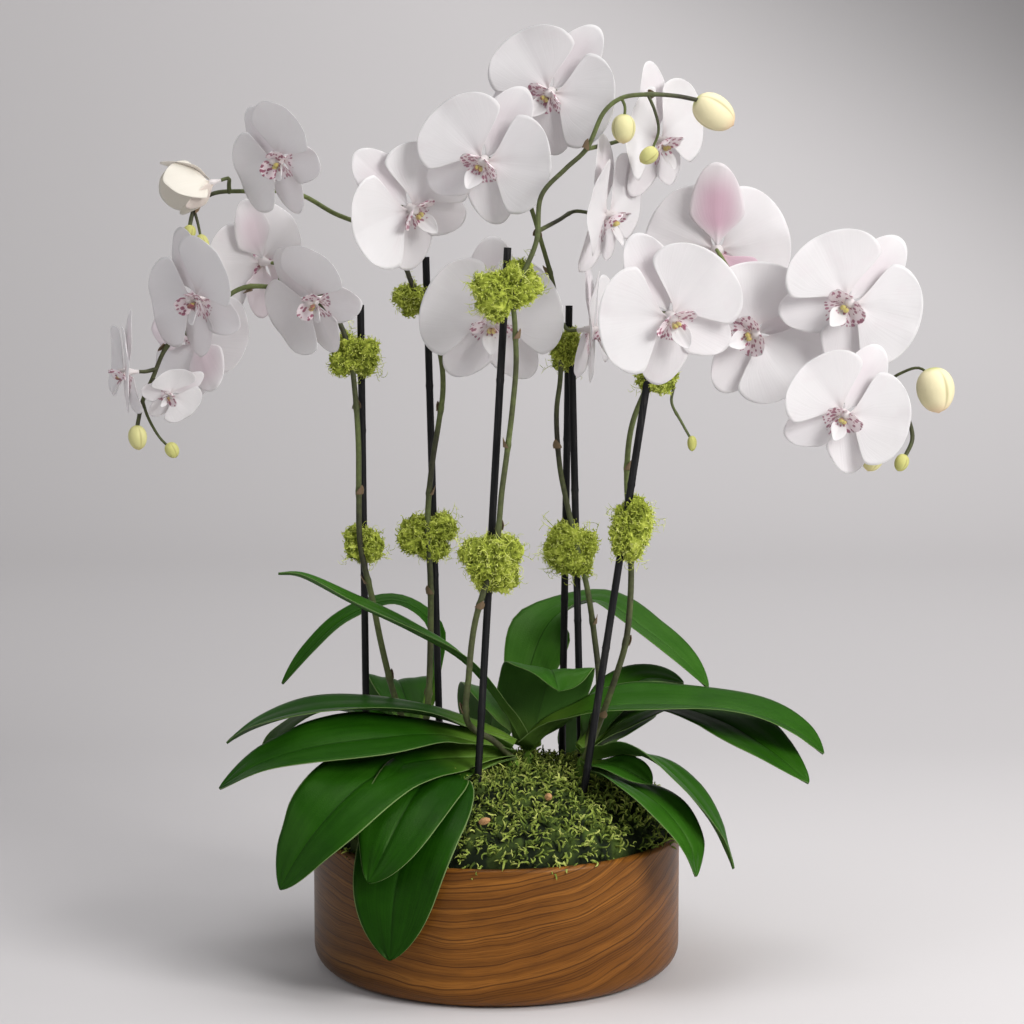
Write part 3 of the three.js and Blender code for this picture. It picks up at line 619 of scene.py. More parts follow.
# The plants: thick strap leaves that arch out of a short crown, glossy deep green above and
# paler below, with a groove along the midrib and a thin pale rim. Each plant grew in one piece.
LEAF_THICKNESS = 1.6 * MM
LEAF_COLUMNS = 22
LEAF_ROWS = 42
CROWN_RADIUS = 9 * MM
CROWN_DEPTH = 86 * MM
PATH_STEPS = 24
PLANTS = {
    "plant_front": {
        "crown": (14, -20, 192),
        "leaves": [
            ([(12, -18, 190), (-36, -12, 216), (-92, -20, 228), (-158, -22, 227), (-207, -22, 214),
              (-234, -22, 199)], 36, (0, 0, 1), 0.16, 0.5),
            ([(12, -20, 188), (-44, -36, 208), (-104, -68, 212), (-160, -76, 205), (-202, -72, 190),
              (-236, -66, 168)], 38, (0, -0.3, 1), 0.14, 0.48),
            ([(12, -22, 186), (-50, -50, 190), (-88, -84, 189), (-118, -118, 178),
              (-146, -142, 152), (-163, -146, 128), (-178, -146, 100)],
             41, (-0.1, -0.55, 1), 0.12, 0.42),
            ([(12, -23, 184), (-48, -58, 184), (-62, -98, 179), (-76, -134, 162), (-90, -158, 136),
              (-104, -164, 110)], 36, (0.1, -0.5, 1), 0.12, 0.48),
            ([(12, -24, 183), (-45, -56, 179), (-56, -104, 170), (-69, -138, 148), (-81, -154, 106),
              (-87, -161, 44)], 42, (0, -0.5, 1), 0.1, 0.56),
        ],
    },
    "plant_middle": {
        "crown": (28, 22, 189),
        "leaves": [
            ([(26, 20, 186), (6, 2, 226), (-27, -8, 268), (-71, -12, 295), (-124, -14, 321),
              (-169, -14, 344), (-188, -14, 346)], 20, (0, 0, 1), 0.2, 0.5),
            ([(28, 24, 184), (36, 27, 212), (42, 20, 240), (46, 2, 258), (50, -20, 259),
              (54, -38, 247)], 41, (0, 0.7, 1), 0.1, 0.34),
            ([(28, 16, 186), (54, 9, 210), (92, 4, 225), (169, 6, 226), (230, 2, 218),
              (265, -2, 203), (286, -6, 186)], 38, (0, -0.12, 1), 0.22, 0.45),
            ([(28, 26, 182), (26, 84, 232), (50, 116, 286), (90, 112, 304), (134, 86, 281),
              (169, 64, 255), (189, 52, 234)], 34, (0.2, -0.1, 1), 0.15, 0.5),
            ([(28, 26, 180), (10, 92, 210), (0, 150, 214), (-6, 196, 176), (-8, 214, 140)],
             36, (0, 0.3, 1), 0.14, 0.5),
        ],
    },
    "plant_right": {
        "crown": (76, -2, 190),
        "leaves": [
            ([(78, 4, 186), (98, 56, 214), (132, 80, 237), (168, 72, 235)],
             26, (0, -0.2, 1), 0.2, 0.62),
            ([(78, 2, 184), (112, 38, 206), (150, 50, 217), (196, 26, 210), (236, -10, 192),
              (270, -34, 166)], 34, (0, -0.12, 1), 0.12, 0.48),
            ([(78, -4, 180), (124, -44, 194), (160, -70, 172), (187, -90, 138), (201, -98, 106)],
             32, (0.5, 0.1, 1), 0.12, 0.5),
            ([(78, -6, 176), (104, -52, 184), (132, -76, 174)], 19, (0, -0.3, 1), 0.2, 0.5),
            ([(78, -6, 171), (112, -68, 172), (142, -98, 157), (163, -114, 130), (168, -118, 104)],
             28, (0.4, -0.2, 1), 0.12, 0.5),
            ([(78, 4, 180), (110, 84, 200), (104, 146, 190), (80, 188, 152), (76, 202, 122)],
             36, (0.2, 0.2, 1), 0.14, 0.5),
        ],
    },
    "plant_back": {
        "crown": (-70, 48, 186),
        "leaves": [
            ([(-70, 52, 182), (-58, 90, 232), (-57, 108, 280), (-92, 112, 303), (-137, 98, 290),
              (-169, 92, 262), (-195, 88, 231)], 16, (0, -0.3, 1), 0.2, 1),
            ([(-70, 54, 178), (-82, 98, 214), (-92, 136, 226), (-100, 168, 208), (-104, 188, 172)],
             30, (0, 0.2, 1), 0.15, 0.5),
            ([(-72, 48, 176), (-116, 72, 204), (-156, 88, 208), (-192, 96, 186), (-212, 100, 152)],
             34, (0, 0.1, 1), 0.14, 0.5),
        ],
    },
}


class Path:
    """A smooth line through points, measured by its length"""

    def __init__(self, points):
        knots = [Vector(p) * MM for p in points]
        knots = [knots[0] * 2 - knots[1]] + knots + [knots[-1] * 2 - knots[-2]]
        self.points = []
        for p0, p1, p2, p3 in zip(knots, knots[1:], knots[2:], knots[3:]):
            before, span, after = ((b - a).length ** 0.5 for a, b in ((p0, p1), (p1, p2), (p2, p3)))
            leave = ((p1 - p0) / before - (p2 - p0) / (before + span) + (p2 - p1) / span) * span
            arrive = ((p2 - p1) / span - (p3 - p1) / (span + after) + (p3 - p2) / after) * span
            for i in range(PATH_STEPS):
                u = i / PATH_STEPS
                self.points.append(p1 + leave * u + (p2 * 3 - p1 * 3 - leave * 2 - arrive) * u ** 2
                                   + (p1 * 2 - p2 * 2 + leave + arrive) * u ** 3)
        self.points.append(knots[-2])
        self.far = [0.0]
        for a, b in zip(self.points, self.points[1:]):
            self.far.append(self.far[-1] + (b - a).length)
        self.length = self.far[-1]

    def at(self, part):
        wanted_far = min(max(part, 0), 1) * self.length
        low, high = 0, len(self.far) - 2
        while low < high:
            half = (low + high + 1) // 2
            low, high = (half, high) if self.far[half] <= wanted_far else (low, half - 1)
        share = (wanted_far - self.far[low]) / (self.far[low + 1] - self.far[low])
        return self.points[low].lerp(self.points[low + 1], share)

    def direction(self, part):
        return (self.at(part + 0.004) - self.at(part - 0.004)).normalized()


def smooth(value):
    bounded = min(max(value, 0), 1)
    return bounded * bounded * (3 - 2 * bounded)


def sheet(front, back, columns, rows, marks):
    """Points, faces and marks of a thin closed blade between two faces of one grid, and how many
    of the faces, the last ones, are its rim"""
    points, faces, marked = [], [], []
    across = columns + 1
    count = across * (rows + 1)
    for side, place in enumerate((front, back)):
        for i in range(rows + 1):
            for k in range(columns + 1):
                s, t = 2 * k / columns - 1, 2 * i / rows - 1
                points.append(place(s, t))
                marked.append(marks(s, t, side))
    for i in range(rows):
        for k in range(columns):
            a = i * across + k
            corners = (a, a + 1, a + across + 1, a + across)
            faces.append(corners)
            faces.append(tuple(c + count for c in reversed(corners)))
    rim = list(range(columns)) + [i * across + columns for i in range(rows)]
    rim += [rows * across + k for k in range(columns, 0, -1)]
    rim += [i * across for i in range(rows, 0, -1)]
    for a, b in zip(rim, rim[1:] + rim[:1]):
        faces.append((b, a, a + count, b + count))
    return points, faces, marked, len(rim)


class Gathering:
    """Several closed bodies gathered in one mesh, with marks kept on its points"""

    def __init__(self):
        self.points, self.faces, self.marks, self.crisp = [], [], [], []

    def add(self, points, faces, marks, rim=0):
        """The last faces of a thin blade are its rim, which isn't shaded round"""
        first = len(self.points)
        self.points += points
        self.faces += [tuple(first + corner for corner in face) for face in faces]
        self.marks += marks
        self.crisp += range(len(self.faces) - rim, len(self.faces))

    def piece(self, name, material, attributes):
        made = mesh_piece(name, self.points, self.faces, material)
        for index in self.crisp:
            made.data.polygons[index].use_smooth = False
        for index, attribute in enumerate(attributes):
            stored = made.data.attributes.new(attribute, "FLOAT_VECTOR", "POINT")
            stored.data.foreach_set("vector", [v for mark in self.marks for v in mark[index]])
        return made


def leaf(gathering, midrib, half, face, fold, spread, tone, seed):
    """One strap leaf: two slightly rounded halves that meet in a crease along the midrib"""
    draw = random.Random(seed)
    path = Path(midrib)
    outward = Vector(face).normalized()
    sway = draw.uniform(0, 6.28)
    # The plant's painted light and shade, with a little random tone that is each leaf's own.
    tone_and_painted_light = tone + draw.uniform(-0.12, 0.12)

    def station(t):
        return 1 - (1 - (t + 1) / 2) ** 1.25

    def share(s):
        return math.copysign(abs(s) ** 1.5, s)

    def half_width(part):
        swell = 0.28 + 0.72 * smooth(part / spread)
        tip = max(0, 1 - max(0, (part - 0.5) / 0.5) ** 3) ** 0.75
        return max(half * swell * tip, 0.5) * MM

    def upper(s, t):
        part, across = station(t), share(s)
        along = path.direction(part)
        up = (outward - along * outward.dot(along)).normalized()
        width = half_width(part)
        apart = abs(across)
        clasp = 0.8 * (1 - smooth(part / 0.2)) * apart
        halves = fold * (1.6 * apart - 0.6 * apart * apart)
        crease = -0.9 * MM * math.exp(-apart / 0.04) * (1 - smooth((part - 0.86) / 0.14))
        wave = 0.05 * math.sin(part * 10 + sway + across * 1.5) * apart * apart
        dent = -0.9 * MM * math.exp(-((apart - 0.55) / 0.16) ** 2) * smooth(part / 0.5)
        veer = 0.02 * width * math.sin(part * 7 + sway)
        height = width * (clasp + halves + wave) + crease + dent
        return path.at(part) + along.cross(up) * (across * width + veer) + up * height

    def lower(s, t):
        part, across = station(t), share(s)
        along = path.direction(part)
        up = (outward - along * outward.dot(along)).normalized()
        return upper(s, t) - up * LEAF_THICKNESS * (1 - 0.72 * across * across)

    def marks(s, t, side):
        part, across = station(t), share(s)
        return (across, part, side), (across * half * MM, part * path.length, tone_and_painted_light)

    gathering.add(*sheet(upper, lower, LEAF_COLUMNS, LEAF_ROWS, marks))


green_leaf = Finish("strap_leaf")
spot_s, spot_t, under = green_leaf.parts(green_leaf.attribute("blade"))
side_mm, along_mm, leaf_tone_and_painted_light = green_leaf.parts(green_leaf.attribute("grain"))
width_share = spot_s.maths("ABSOLUTE")
veins = green_leaf.noise(green_leaf.vector(side_mm * 700, along_mm * 18, leaf_tone_and_painted_light * 9), 1.0, 2.0)
mottle = green_leaf.noise(green_leaf.place(), 26.0, 3.0)
pebble = green_leaf.noise(green_leaf.place(), 900.0, 2.0)
# The green is darker or lighter by the plant's painted light and shade and by each leaf's own
# random tone.
blade_green = green_leaf.ramp(mottle * 0.35 + veins * 0.20 + leaf_tone_and_painted_light * 0.60, [
    (0.25, (0.004, 0.028, 0.001)), (0.42, (0.011, 0.060, 0.002)), (0.62, (0.022, 0.094, 0.005)),
    (0.85, (0.048, 0.145, 0.016))])
base_green = green_leaf.mix(1 - spot_t.step(0.03, 0.32), blade_green, (0.115, 0.215, 0.026))
# A thin dark line along the midrib's crease: a painted shade.
midrib_painted_shade = green_leaf.mix((1 - width_share.step(0.0, 0.03)) * 0.7, base_green,
                           (0.004, 0.022, 0.002))
rim_pale = green_leaf.mix(width_share.step(0.968, 0.995) * 0.6, midrib_painted_shade, (0.300, 0.400, 0.160))
both_sides = green_leaf.mix(under * 0.50, rim_pale, (0.060, 0.130, 0.032))
leaf_finish = green_leaf.surface({
    "Base Color": both_sides,
    "Roughness": 0.32 + mottle * 0.16 + under * 0.15,
    "Specular IOR Level": 0.15,
    "Specular Tint": (0.72, 1.0, 0.45, 1),
    "Normal": green_leaf.bump(veins * 0.4 + pebble * 0.6, 0.00034),
}, glow=0.03, glow_colour=(0.16, 0.42, 0.05))


def crown_body(gathering, top_point):
    """The short thick stem under the leaves, tapering up into their bases"""
    cx, cy, top = (value * MM for value in top_point)
    outline = [(0, CROWN_DEPTH), (CROWN_RADIUS, CROWN_DEPTH), (CROWN_RADIUS, top - 30 * MM),
               (CROWN_RADIUS * 0.8, top - 20 * MM), (CROWN_RADIUS * 0.5, top - 10 * MM),
               (0, top - 6 * MM)]
    points, faces = revolve(outline, 20)
    moved = [Vector(point) + Vector((cx, cy, 0)) for point in points]
    marks = [((0.5, 0.0, 0.0), (p.x, p.z, 0.5)) for p in moved]
    gathering.add(moved, faces, marks)


# Painted light and shade for each plant's leaves: the front plant's darker, a painted shade, and
# the middle and right plants' lighter, a painted light.
PLANT_PAINTED_LIGHT = {"plant_front": 0.18, "plant_middle": 0.62, "plant_right": 0.66, "plant_back": 0.40}
for number, (node, plant) in enumerate(PLANTS.items()):
    grown = Gathering()
    crown_body(grown, plant["crown"])
    for order, (midrib, half, face, fold, spread) in enumerate(plant["leaves"]):
        leaf(grown, midrib, half, face, fold, spread, PLANT_PAINTED_LIGHT[node], seed=number * 20 + order)
    hand_over(grown.piece("leaves_" + node[6:], leaf_finish, ("blade", "grain")), "leaf", node)


# The flower stems: olive green, darker in stretches, jointed, with a dry scale at each joint.
# Each rises beside its stake, arches over, and carries side stems for its flowers and buds.
STEM_RADIUS = 2.9 * MM
STEM_TIP_RADIUS = 1.8 * MM
PEDICEL_RADIUS = 1.7 * MM
TWIG_RADIUS = 1.2 * MM
BUD_SIDES = 30
BUD_RINGS = 18
GREEN_SIZE = 10
RIPE_SIZE = 26
ROD_SIDES = 12
MAIN_JOINT_GAP = 84 * MM
SIDE_JOINT_GAP = 60 * MM
SEAT_DEPTH = 15
BLOOM_SPAN = 125
STEMS = {
    "stem_a": {
        "route": [(-72, 44, 182), (-84, 36, 210), (-92, 30, 236), (-102, 30, 278), (-109, 24, 317),
                  (-119, 20, 366), (-120, 18, 411), (-120, 16, 456), (-123, 14, 505),
                  (-127, 13, 535), (-138, 12, 564), (-161, 10, 582), (-187, 8, 590),
                  (-219, 2, 590), (-251, -8, 565), (-280, -14, 543), (-294, -18, 513),
                  (-302, -20, 495), (-307, -25, 470)],
        "twigs": [[(-302, -20, 495), (-298, -21, 482), (-288, -22, 464), (-279, -24, 455)]],
        "buds": [((-306, -26, 464), (0.1, 0, -1), 16, 21),
                 ((-277, -24, 453), (0.5, 0, -1), 12, 14)],
    },
    "stem_b": {
        "route": [(-66, 50, 182), (-61, 58, 226), (-59, 58, 287), (-59, 54, 333), (-61, 51, 375),
                  (-60, 50, 405), (-56, 48, 440), (-51, 46, 470), (-47, 44, 500), (-49, 42, 530),
                  (-60, 40, 566), (-74, 38, 594), (-82, 36, 614), (-101, 32, 637), (-140, 28, 654),
                  (-172, 24, 671), (-216, 16, 673), (-243, 12, 671), (-257, 10, 662),
                  (-261, 6, 652), (-263, 4, 641)],
        "twigs": [[(-259, 8, 656), (-256, 6, 646), (-253, 4, 632)]],
        "buds": [((-263, 4, 638), (-0.2, 0, -1), 11, 13), ((-252, 4, 627), (0.2, 0, -1), 12, 19)],
    },
    "stem_c": {
        "route": [(15, -23, 184), (-2, -38, 203), (-24, -52, 222), (-23, -62, 265), (-18, -70, 309),
                  (-10, -75, 339), (-2, -76, 362), (2, -76, 389), (5, -77, 422), (9, -77, 452),
                  (14, -77, 493), (17, -77, 530), (16, -79, 562), (15, -81, 588), (23, -80, 605),
                  (34, -78, 632), (38, -76, 669), (58, -74, 691), (75, -72, 707), (90, -70, 738),
                  (104, -68, 749), (124, -66, 752), (150, -60, 751), (172, -54, 747)],
        "twigs": [[(104, -68, 749), (107, -67, 742), (106, -66, 729)],
                  [(126, -66, 752), (132, -66, 738), (135, -66, 722), (129, -66, 705)]],
        "buds": [((182, -50, 738), (1, 0.1, -0.65), 29, 38), ((106, -66, 724), (0, 0, -1), 20, 24),
                 ((127, -66, 702), (-0.9, 0, -0.7), 14, 17)],
    },
    "stem_d": {
        "route": [(77, 3, 182), (84, 24, 206), (91, 54, 236), (87, 60, 280), (80, 50, 325),
                  (71, 44, 361), (62, 44, 400), (56, 45, 430), (53, 46, 464), (53, 46, 485),
                  (56, 44, 510), (56, 41, 545), (50, 42, 590), (36, 30, 640), (24, 12, 684),
                  (26, 2, 716), (32, -8, 738)],
        "twigs": [],
        "buds": [],
    },
    "stem_e": {
        "route": [(77, -7, 182), (87, -22, 210), (103, -40, 261), (111, -46, 292), (115, -46, 345),
                  (113, -46, 390), (111, -46, 440), (115, -47, 476), (125, -49, 503),
                  (139, -48, 529), (159, -36, 560), (203, -24, 584), (250, -22, 584),
                  (288, -28, 563), (310, -34, 532), (332, -42, 508), (346, -50, 486),
                  (351, -56, 466), (343, -63, 449)],
        "twigs": [[(329, -41, 511), (341, -48, 520), (356, -54, 525), (368, -60, 516)],
                  [(348, -52, 480), (334, -62, 470), (319, -69, 455)],
                  [(144, -46, 536), (150, -50, 512), (148, -54, 496), (156, -58, 480),
                   (165, -61, 464)]],
        "buds": [((369, -61, 507), (0.15, 0, -1), 32, 38), ((316, -70, 450), (-0.4, 0, -1), 18, 22),
                 ((341, -64, 446), (-0.4, 0, -1), 12, 15), ((165, -61, 462), (0, 0, -1), 8, 13)],
    },
}

# Each flower: its stem, where along the stem's points its side stem leaves, its centre, how
# far it turns to the right, tilts up and rolls to the left, its span, and how far it is closed
BLOOMS = {
    "bloom_a1": ("stem_a", 11, (-155, -22, 580), -40, -14, 50, 104, 0),
    "bloom_a2": ("stem_a", 12, (-206, 58, 612), -135, 5, -30, 108, 0),
    "bloom_a3": ("stem_a", 14, (-253, -38, 583), -44, -4, 27, 112, 0),
    "bloom_a4": ("stem_a", 14.6, (-262, 34, 545), 150, -20, 140, 104, 0),
    "bloom_a5": ("stem_a", 15.7, (-315, -26, 520), -72, 0, 4, 92, 0),
    "bloom_a6": ("stem_a", 16, (-275, -46, 502), 30, -30, -60, 58, 0),
    "bloom_b1": ("stem_b", 9.7, (-4, 0, 561), 0, 0, 0, 128, 0),
    "bloom_b2": ("stem_b", 12.6, (-72, -15, 658), 24, -8, 45, 120, 0),
    "bloom_b3": ("stem_b", 15.2, (-184, -18, 699), -44, -8, 45, 104, 0),
    "bloom_b4": ("stem_b", 16.5, (-243, -6, 680), -66, -14, 15, 76, 34),
    "bloom_c1": ("stem_c", 15.2, (93, -40, 653), 66, -6, 10, 118, 0),
    "bloom_c2": ("stem_c", 18, (138, -6, 716), 52, -4, 12, 116, 0),
    "bloom_d1": ("stem_d", 11.4, (84, 28, 553), 78, 0, -8, 116, 0),
    "bloom_d2": ("stem_d", 14, (-10, -46, 698), -10, -4, -28, 120, 0),
    "bloom_d3": ("stem_d", 16, (46, -34, 755), -12, -4, -38, 116, 0),
    "bloom_e1": ("stem_e", 10.2, (144, -100, 570), 10, -4, 26, 128, 0),
    "bloom_e2": ("stem_e", 11.3, (217, -52, 554), 6, 0, -70, 124, 0),
    "bloom_e3": ("stem_e", 11.2, (192, 34, 622), 176, 0, 0, 132, 0),
    "bloom_e4": ("stem_e", 12.8, (293, -72, 580), 6, 4, -44, 126, 0),
    "bloom_e5": ("stem_e", 14.4, (287, -104, 490), 8, 0, -30, 112, 0),
}


def facing(turn, tilt, roll):
    """The turn that points a flower's face, which looks towards -Y, its own way"""
    about_x = Matrix.Rotation(math.radians(-tilt), 4, "X")
    about_y = Matrix.Rotation(math.radians(-roll), 4, "Y")
    about_z = Matrix.Rotation(math.radians(turn), 4, "Z")
    return about_z @ about_x @ about_y


def route_point(route, at):
    first = min(int(at), len(route) - 2)
    return Vector(route[first]).lerp(Vector(route[first + 1]), at - first)


def pedicel_points(stem, flower):
    _, leaves_at, centre, turn, tilt, roll, span, _ = flower
    back = facing(turn, tilt, roll) @ Vector((0, 1, 0))
    seat = Vector(centre) + back * (SEAT_DEPTH * span / BLOOM_SPAN + 0.3)
    start = route_point(stem["route"], leaves_at)
    before = seat + back * min(14, (seat - start).length * 0.35)
    return [start, start.lerp(before, 0.55), before, seat]


def stem_line(points, thick, thin, joint_gap, seed):
    """Points and radii along a stem, swollen a little at each joint, and where the joints are"""
    path = Path(points)
    draw = random.Random(seed)
    joints = []
    far = joint_gap * draw.uniform(0.5, 0.9)
    while far < path.length - 0.02:
        joints.append(far / path.length)
        far += joint_gap * draw.uniform(0.8, 1.15)
    knuckle_width = 2.6 * MM / path.length
    count = max(8, int(path.length / (3.2 * MM)))
    line = []
    for i in range(count + 1):
        part = i / count
        knuckle = sum(math.exp(-((part - joint) / knuckle_width) ** 2) for joint in joints)
        line.append((path.at(part), (thick + (thin - thick) * part) * (1 + 0.24 * knuckle)))
    return path, line, joints


def bud(gathering, centre, axis, width, length, ripe):
    """A closed bud: an egg with the seams of its three sepals and a slightly pointed end"""
    turn = Vector((0, 0, 1)).rotation_difference(Vector(axis).normalized()).to_matrix()

    def spot(radius, angle, height):
        local = Vector((radius * math.cos(angle), radius * math.sin(angle), height))
        return (turn @ local + Vector(centre)) * MM

    def seam_at(angle, polar):
        return math.exp(-(math.sin(1.5 * angle) / 0.2) ** 2) * math.sin(polar)

    points, marks = [spot(0, 0, -length / 2)], [((1, 0, ripe),)]
    for i in range(1, BUD_RINGS):
        polar = math.pi * i / BUD_RINGS
        for k in range(BUD_SIDES):
            angle = 2 * math.pi * k / BUD_SIDES
            seam = seam_at(angle, polar)
            egg = math.sin(polar) ** 0.94 * (1 + 0.07 * math.cos(polar))
            radius = width / 2 * egg * (1 - 0.07 * seam)
            points.append(spot(radius, angle, -length / 2 * math.cos(polar)))
            marks.append(((1 + seam, i / BUD_RINGS, ripe),))
    points.append(spot(0, 0, length / 2 * 1.05))
    marks.append(((1, 1, ripe),))
    gathering.add(points, skin(BUD_SIDES, BUD_RINGS - 1), marks)


def scale_leaf(gathering, path, joint, lean):
    """The small dry scale that clasps a joint of the stem"""
    base = path.at(joint)
    along = path.direction(joint)
    side = along.orthogonal().normalized()
    side.rotate(Matrix.Rotation(lean, 3, along))
    other = along.cross(side)

    def shell(lift):
        def place(s, t):
            height = (t + 1) / 2
            open_angle = s * 1.5 * (1 - height)
            reach = (3.7 + lift + 1.3 * height) * MM
            out = side * math.cos(open_angle) + other * math.sin(open_angle)
            return base + out * reach + along * (height * 8.5 - 1.5) * MM
        return place

    def marks(s, t, side_index):
        return ((0.5, (t + 1) / 2, 0),)

    gathering.add(*sheet(shell(0.35), shell(0), 8, 6, marks))


stem_green = Finish("flower_stem")
is_bud, bud_part, ripe_share = stem_green.parts(stem_green.attribute("growth"))
cloud = stem_green.noise(stem_green.place(), 14.0, 2.0)
fleck = stem_green.noise(stem_green.place(), 260.0, 2.0)
rod_green = stem_green.ramp(cloud * 0.8 + fleck * 0.2, [
    (0.36, (0.036, 0.034, 0.022)), (0.46, (0.070, 0.078, 0.034)), (0.58, (0.125, 0.155, 0.052)),
    (0.72, (0.210, 0.255, 0.085))])
scale_tan = stem_green.mix(is_bud.step(0.2, 0.4), rod_green, (0.190, 0.130, 0.075))
bud_green = stem_green.mix(fleck * 0.4 + bud_part * 0.3, (0.620, 0.600, 0.190),
                           (0.430, 0.470, 0.110))
bud_cream = stem_green.mix(bud_part.step(0.62, 1.0) * 0.8, (0.860, 0.780, 0.500),
                           (0.800, 0.520, 0.330))
bud_base = stem_green.mix(1 - bud_part.step(0.02, 0.20), bud_cream, (0.560, 0.580, 0.200))
bud_plain = stem_green.mix(ripe_share, bud_green, bud_base)
bud_colour = stem_green.mix(is_bud.step(1.2, 2.0) * 0.55, bud_plain, (0.300, 0.250, 0.080))
stem_finish = stem_green.surface({
    "Base Color": stem_green.mix(is_bud.step(0.6, 0.9), scale_tan, bud_colour),
    "Roughness": 0.45 + fleck * 0.15,
    "Specular IOR Level": 0.25,
    "Normal": stem_green.bump(fleck, 0.0002),
}, glow=0.06, glow_colour=(0.6, 0.6, 0.35))

for number, (node, stem) in enumerate(STEMS.items()):
    extras = Gathering()
    path, line, joints = stem_line(stem["route"], STEM_RADIUS, STEM_TIP_RADIUS, MAIN_JOINT_GAP,
                                   number)
    lines = [line]
    side_stems = stem["twigs"] + [pedicel_points(stem, b) for b in BLOOMS.values() if b[0] == node]
    for order, points in enumerate(side_stems):
        thick = TWIG_RADIUS if order < len(stem["twigs"]) else PEDICEL_RADIUS
        lines.append(stem_line(points, thick * 1.15, thick * 0.9, SIDE_JOINT_GAP, order)[1])
    for order, joint in enumerate(joints):
        scale_leaf(extras, path, joint, order * 2.3 + number)
    for centre, axis, width, length in stem["buds"]:
        ripe = min(1, max(0, (width - GREEN_SIZE) / (RIPE_SIZE - GREEN_SIZE)))
        bud(extras, centre, axis, width, length, ripe)
    rod_piece = rods.apply(curve_object(node + "_lines", lines), node + "_rods", Sides=ROD_SIDES,
                           Material=stem_finish)
    buds_and_scales = extras.piece(node + "_buds", stem_finish, ("growth",))
    hand_over(join("flower_" + node, [buds_and_scales, rod_piece]), "stem", node)


# The moss ties: tufts of springy yellow-green reindeer moss pushed round each stake and
# stem, hiding the wire that holds them together.
pale_moss = moss_finish("reindeer_moss", (0.140, 0.175, 0.020), (0.385, 0.455, 0.056),
                        (0.680, 0.750, 0.140), (0.900, 0.920, 0.380), glow=0.18)
tufts = sprig_set("tuft_shoot", 24, length=4.2 * MM, width=0.55 * MM, forks=2, curl=0.9, steps=3)
tufts.objects.link(
    sprig("tuft_wisp", 90, length=16 * MM, width=0.34 * MM, forks=3, curl=0.55, steps=6))


def tuft_core(name, centre, half, seed):
    """The crumpled body of a tuft: a torn block with rounded corners and a few lobes"""
    draw = random.Random(seed)
    lobes = [Vector([draw.uniform(-size, size) for size in (1, 0.5, 1)]).normalized()
             for _ in range(5)]
    torn = Matrix.Rotation(draw.uniform(-0.45, 0.45), 3, "Y")
    ball = bmesh.new()
    bmesh.ops.create_icosphere(ball, subdivisions=5, radius=1)
    tips = []
    for vertex in ball.verts:
        way = vertex.co.normalized()
        blocky = sum(abs(v) ** 5 for v in torn @ way) ** -0.2
        bulge = max(smooth((way.dot(lobe) - 0.55) / 0.35) for lobe in lobes)
        crumple = noise.noise(way * 4.2 + Vector((seed * 7, 0, 0)))
        crumb = noise.noise(way * 11 + Vector((0, seed * 7, 0)))
        reach = blocky * (0.54 + 0.30 * bulge + 0.24 * crumple + 0.10 * crumb)
        # Lighter where the core bulges out and darker in its dips: a painted shade.
        tips.append(0.26 + 0.9 * crumple + 1.1 * crumb)
        vertex.co = Vector([v * h * min(reach, 1.05) for v, h in zip(way, half)]) + centre
    mesh = bpy.data.meshes.new(name)
    ball.to_mesh(mesh)
    ball.free()
    mark(mesh, "tip", tips)
    return placed(name, mesh)


clump_nodes = sorted(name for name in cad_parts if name.startswith("clump_"))
for number, node in enumerate(clump_nodes):
    low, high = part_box(node)
    core = tuft_core(node + "_core", (low + high) / 2, (high - low) / 2, number)
    piece = mat_of_shoots.apply(core, "tuft" + node[5:], Shoots=tufts, Spacing=2.15 * MM,
                                Density=260000.0, Least_Upward=-2.0, Smallest=0.70, Largest=1.25,
                                Seed=number, Material=pale_moss)
    hand_over(piece, "clump", node)


# The flowers: each grew in one piece, with two broad petals over three narrower sepals, a
# thick column, and a lip of two standing side lobes, a yellow bump and a curled middle lobe.
# Lengths and half widths are those of a flower with the full span.
PETAL = (58, 44)
TOP_SEPAL = (69, 26)
LOW_SEPAL = (54, 23.92)
MIDDLE_LOBE = (24, 9)
SIDE_LOBE = (20, 11)
PETAL_THICKNESS = 0.7
BUD_ARCHING = 34
DEEP_FLUSH = {"bloom_e3": 0.75}
SCALED = ("depth", "lift", "curl", "cup", "wave", "frill", "crease")


class Draws:
    """The same even random numbers that vary each flower's solid, from -amount to amount"""

    def __init__(self, seed):
        self.state = seed

    def vary(self, amount):
        self.state = (self.state * 1664525 + 1013904223) % 4294967296
        return (self.state / 4294967296 - 0.5) * 2 * amount


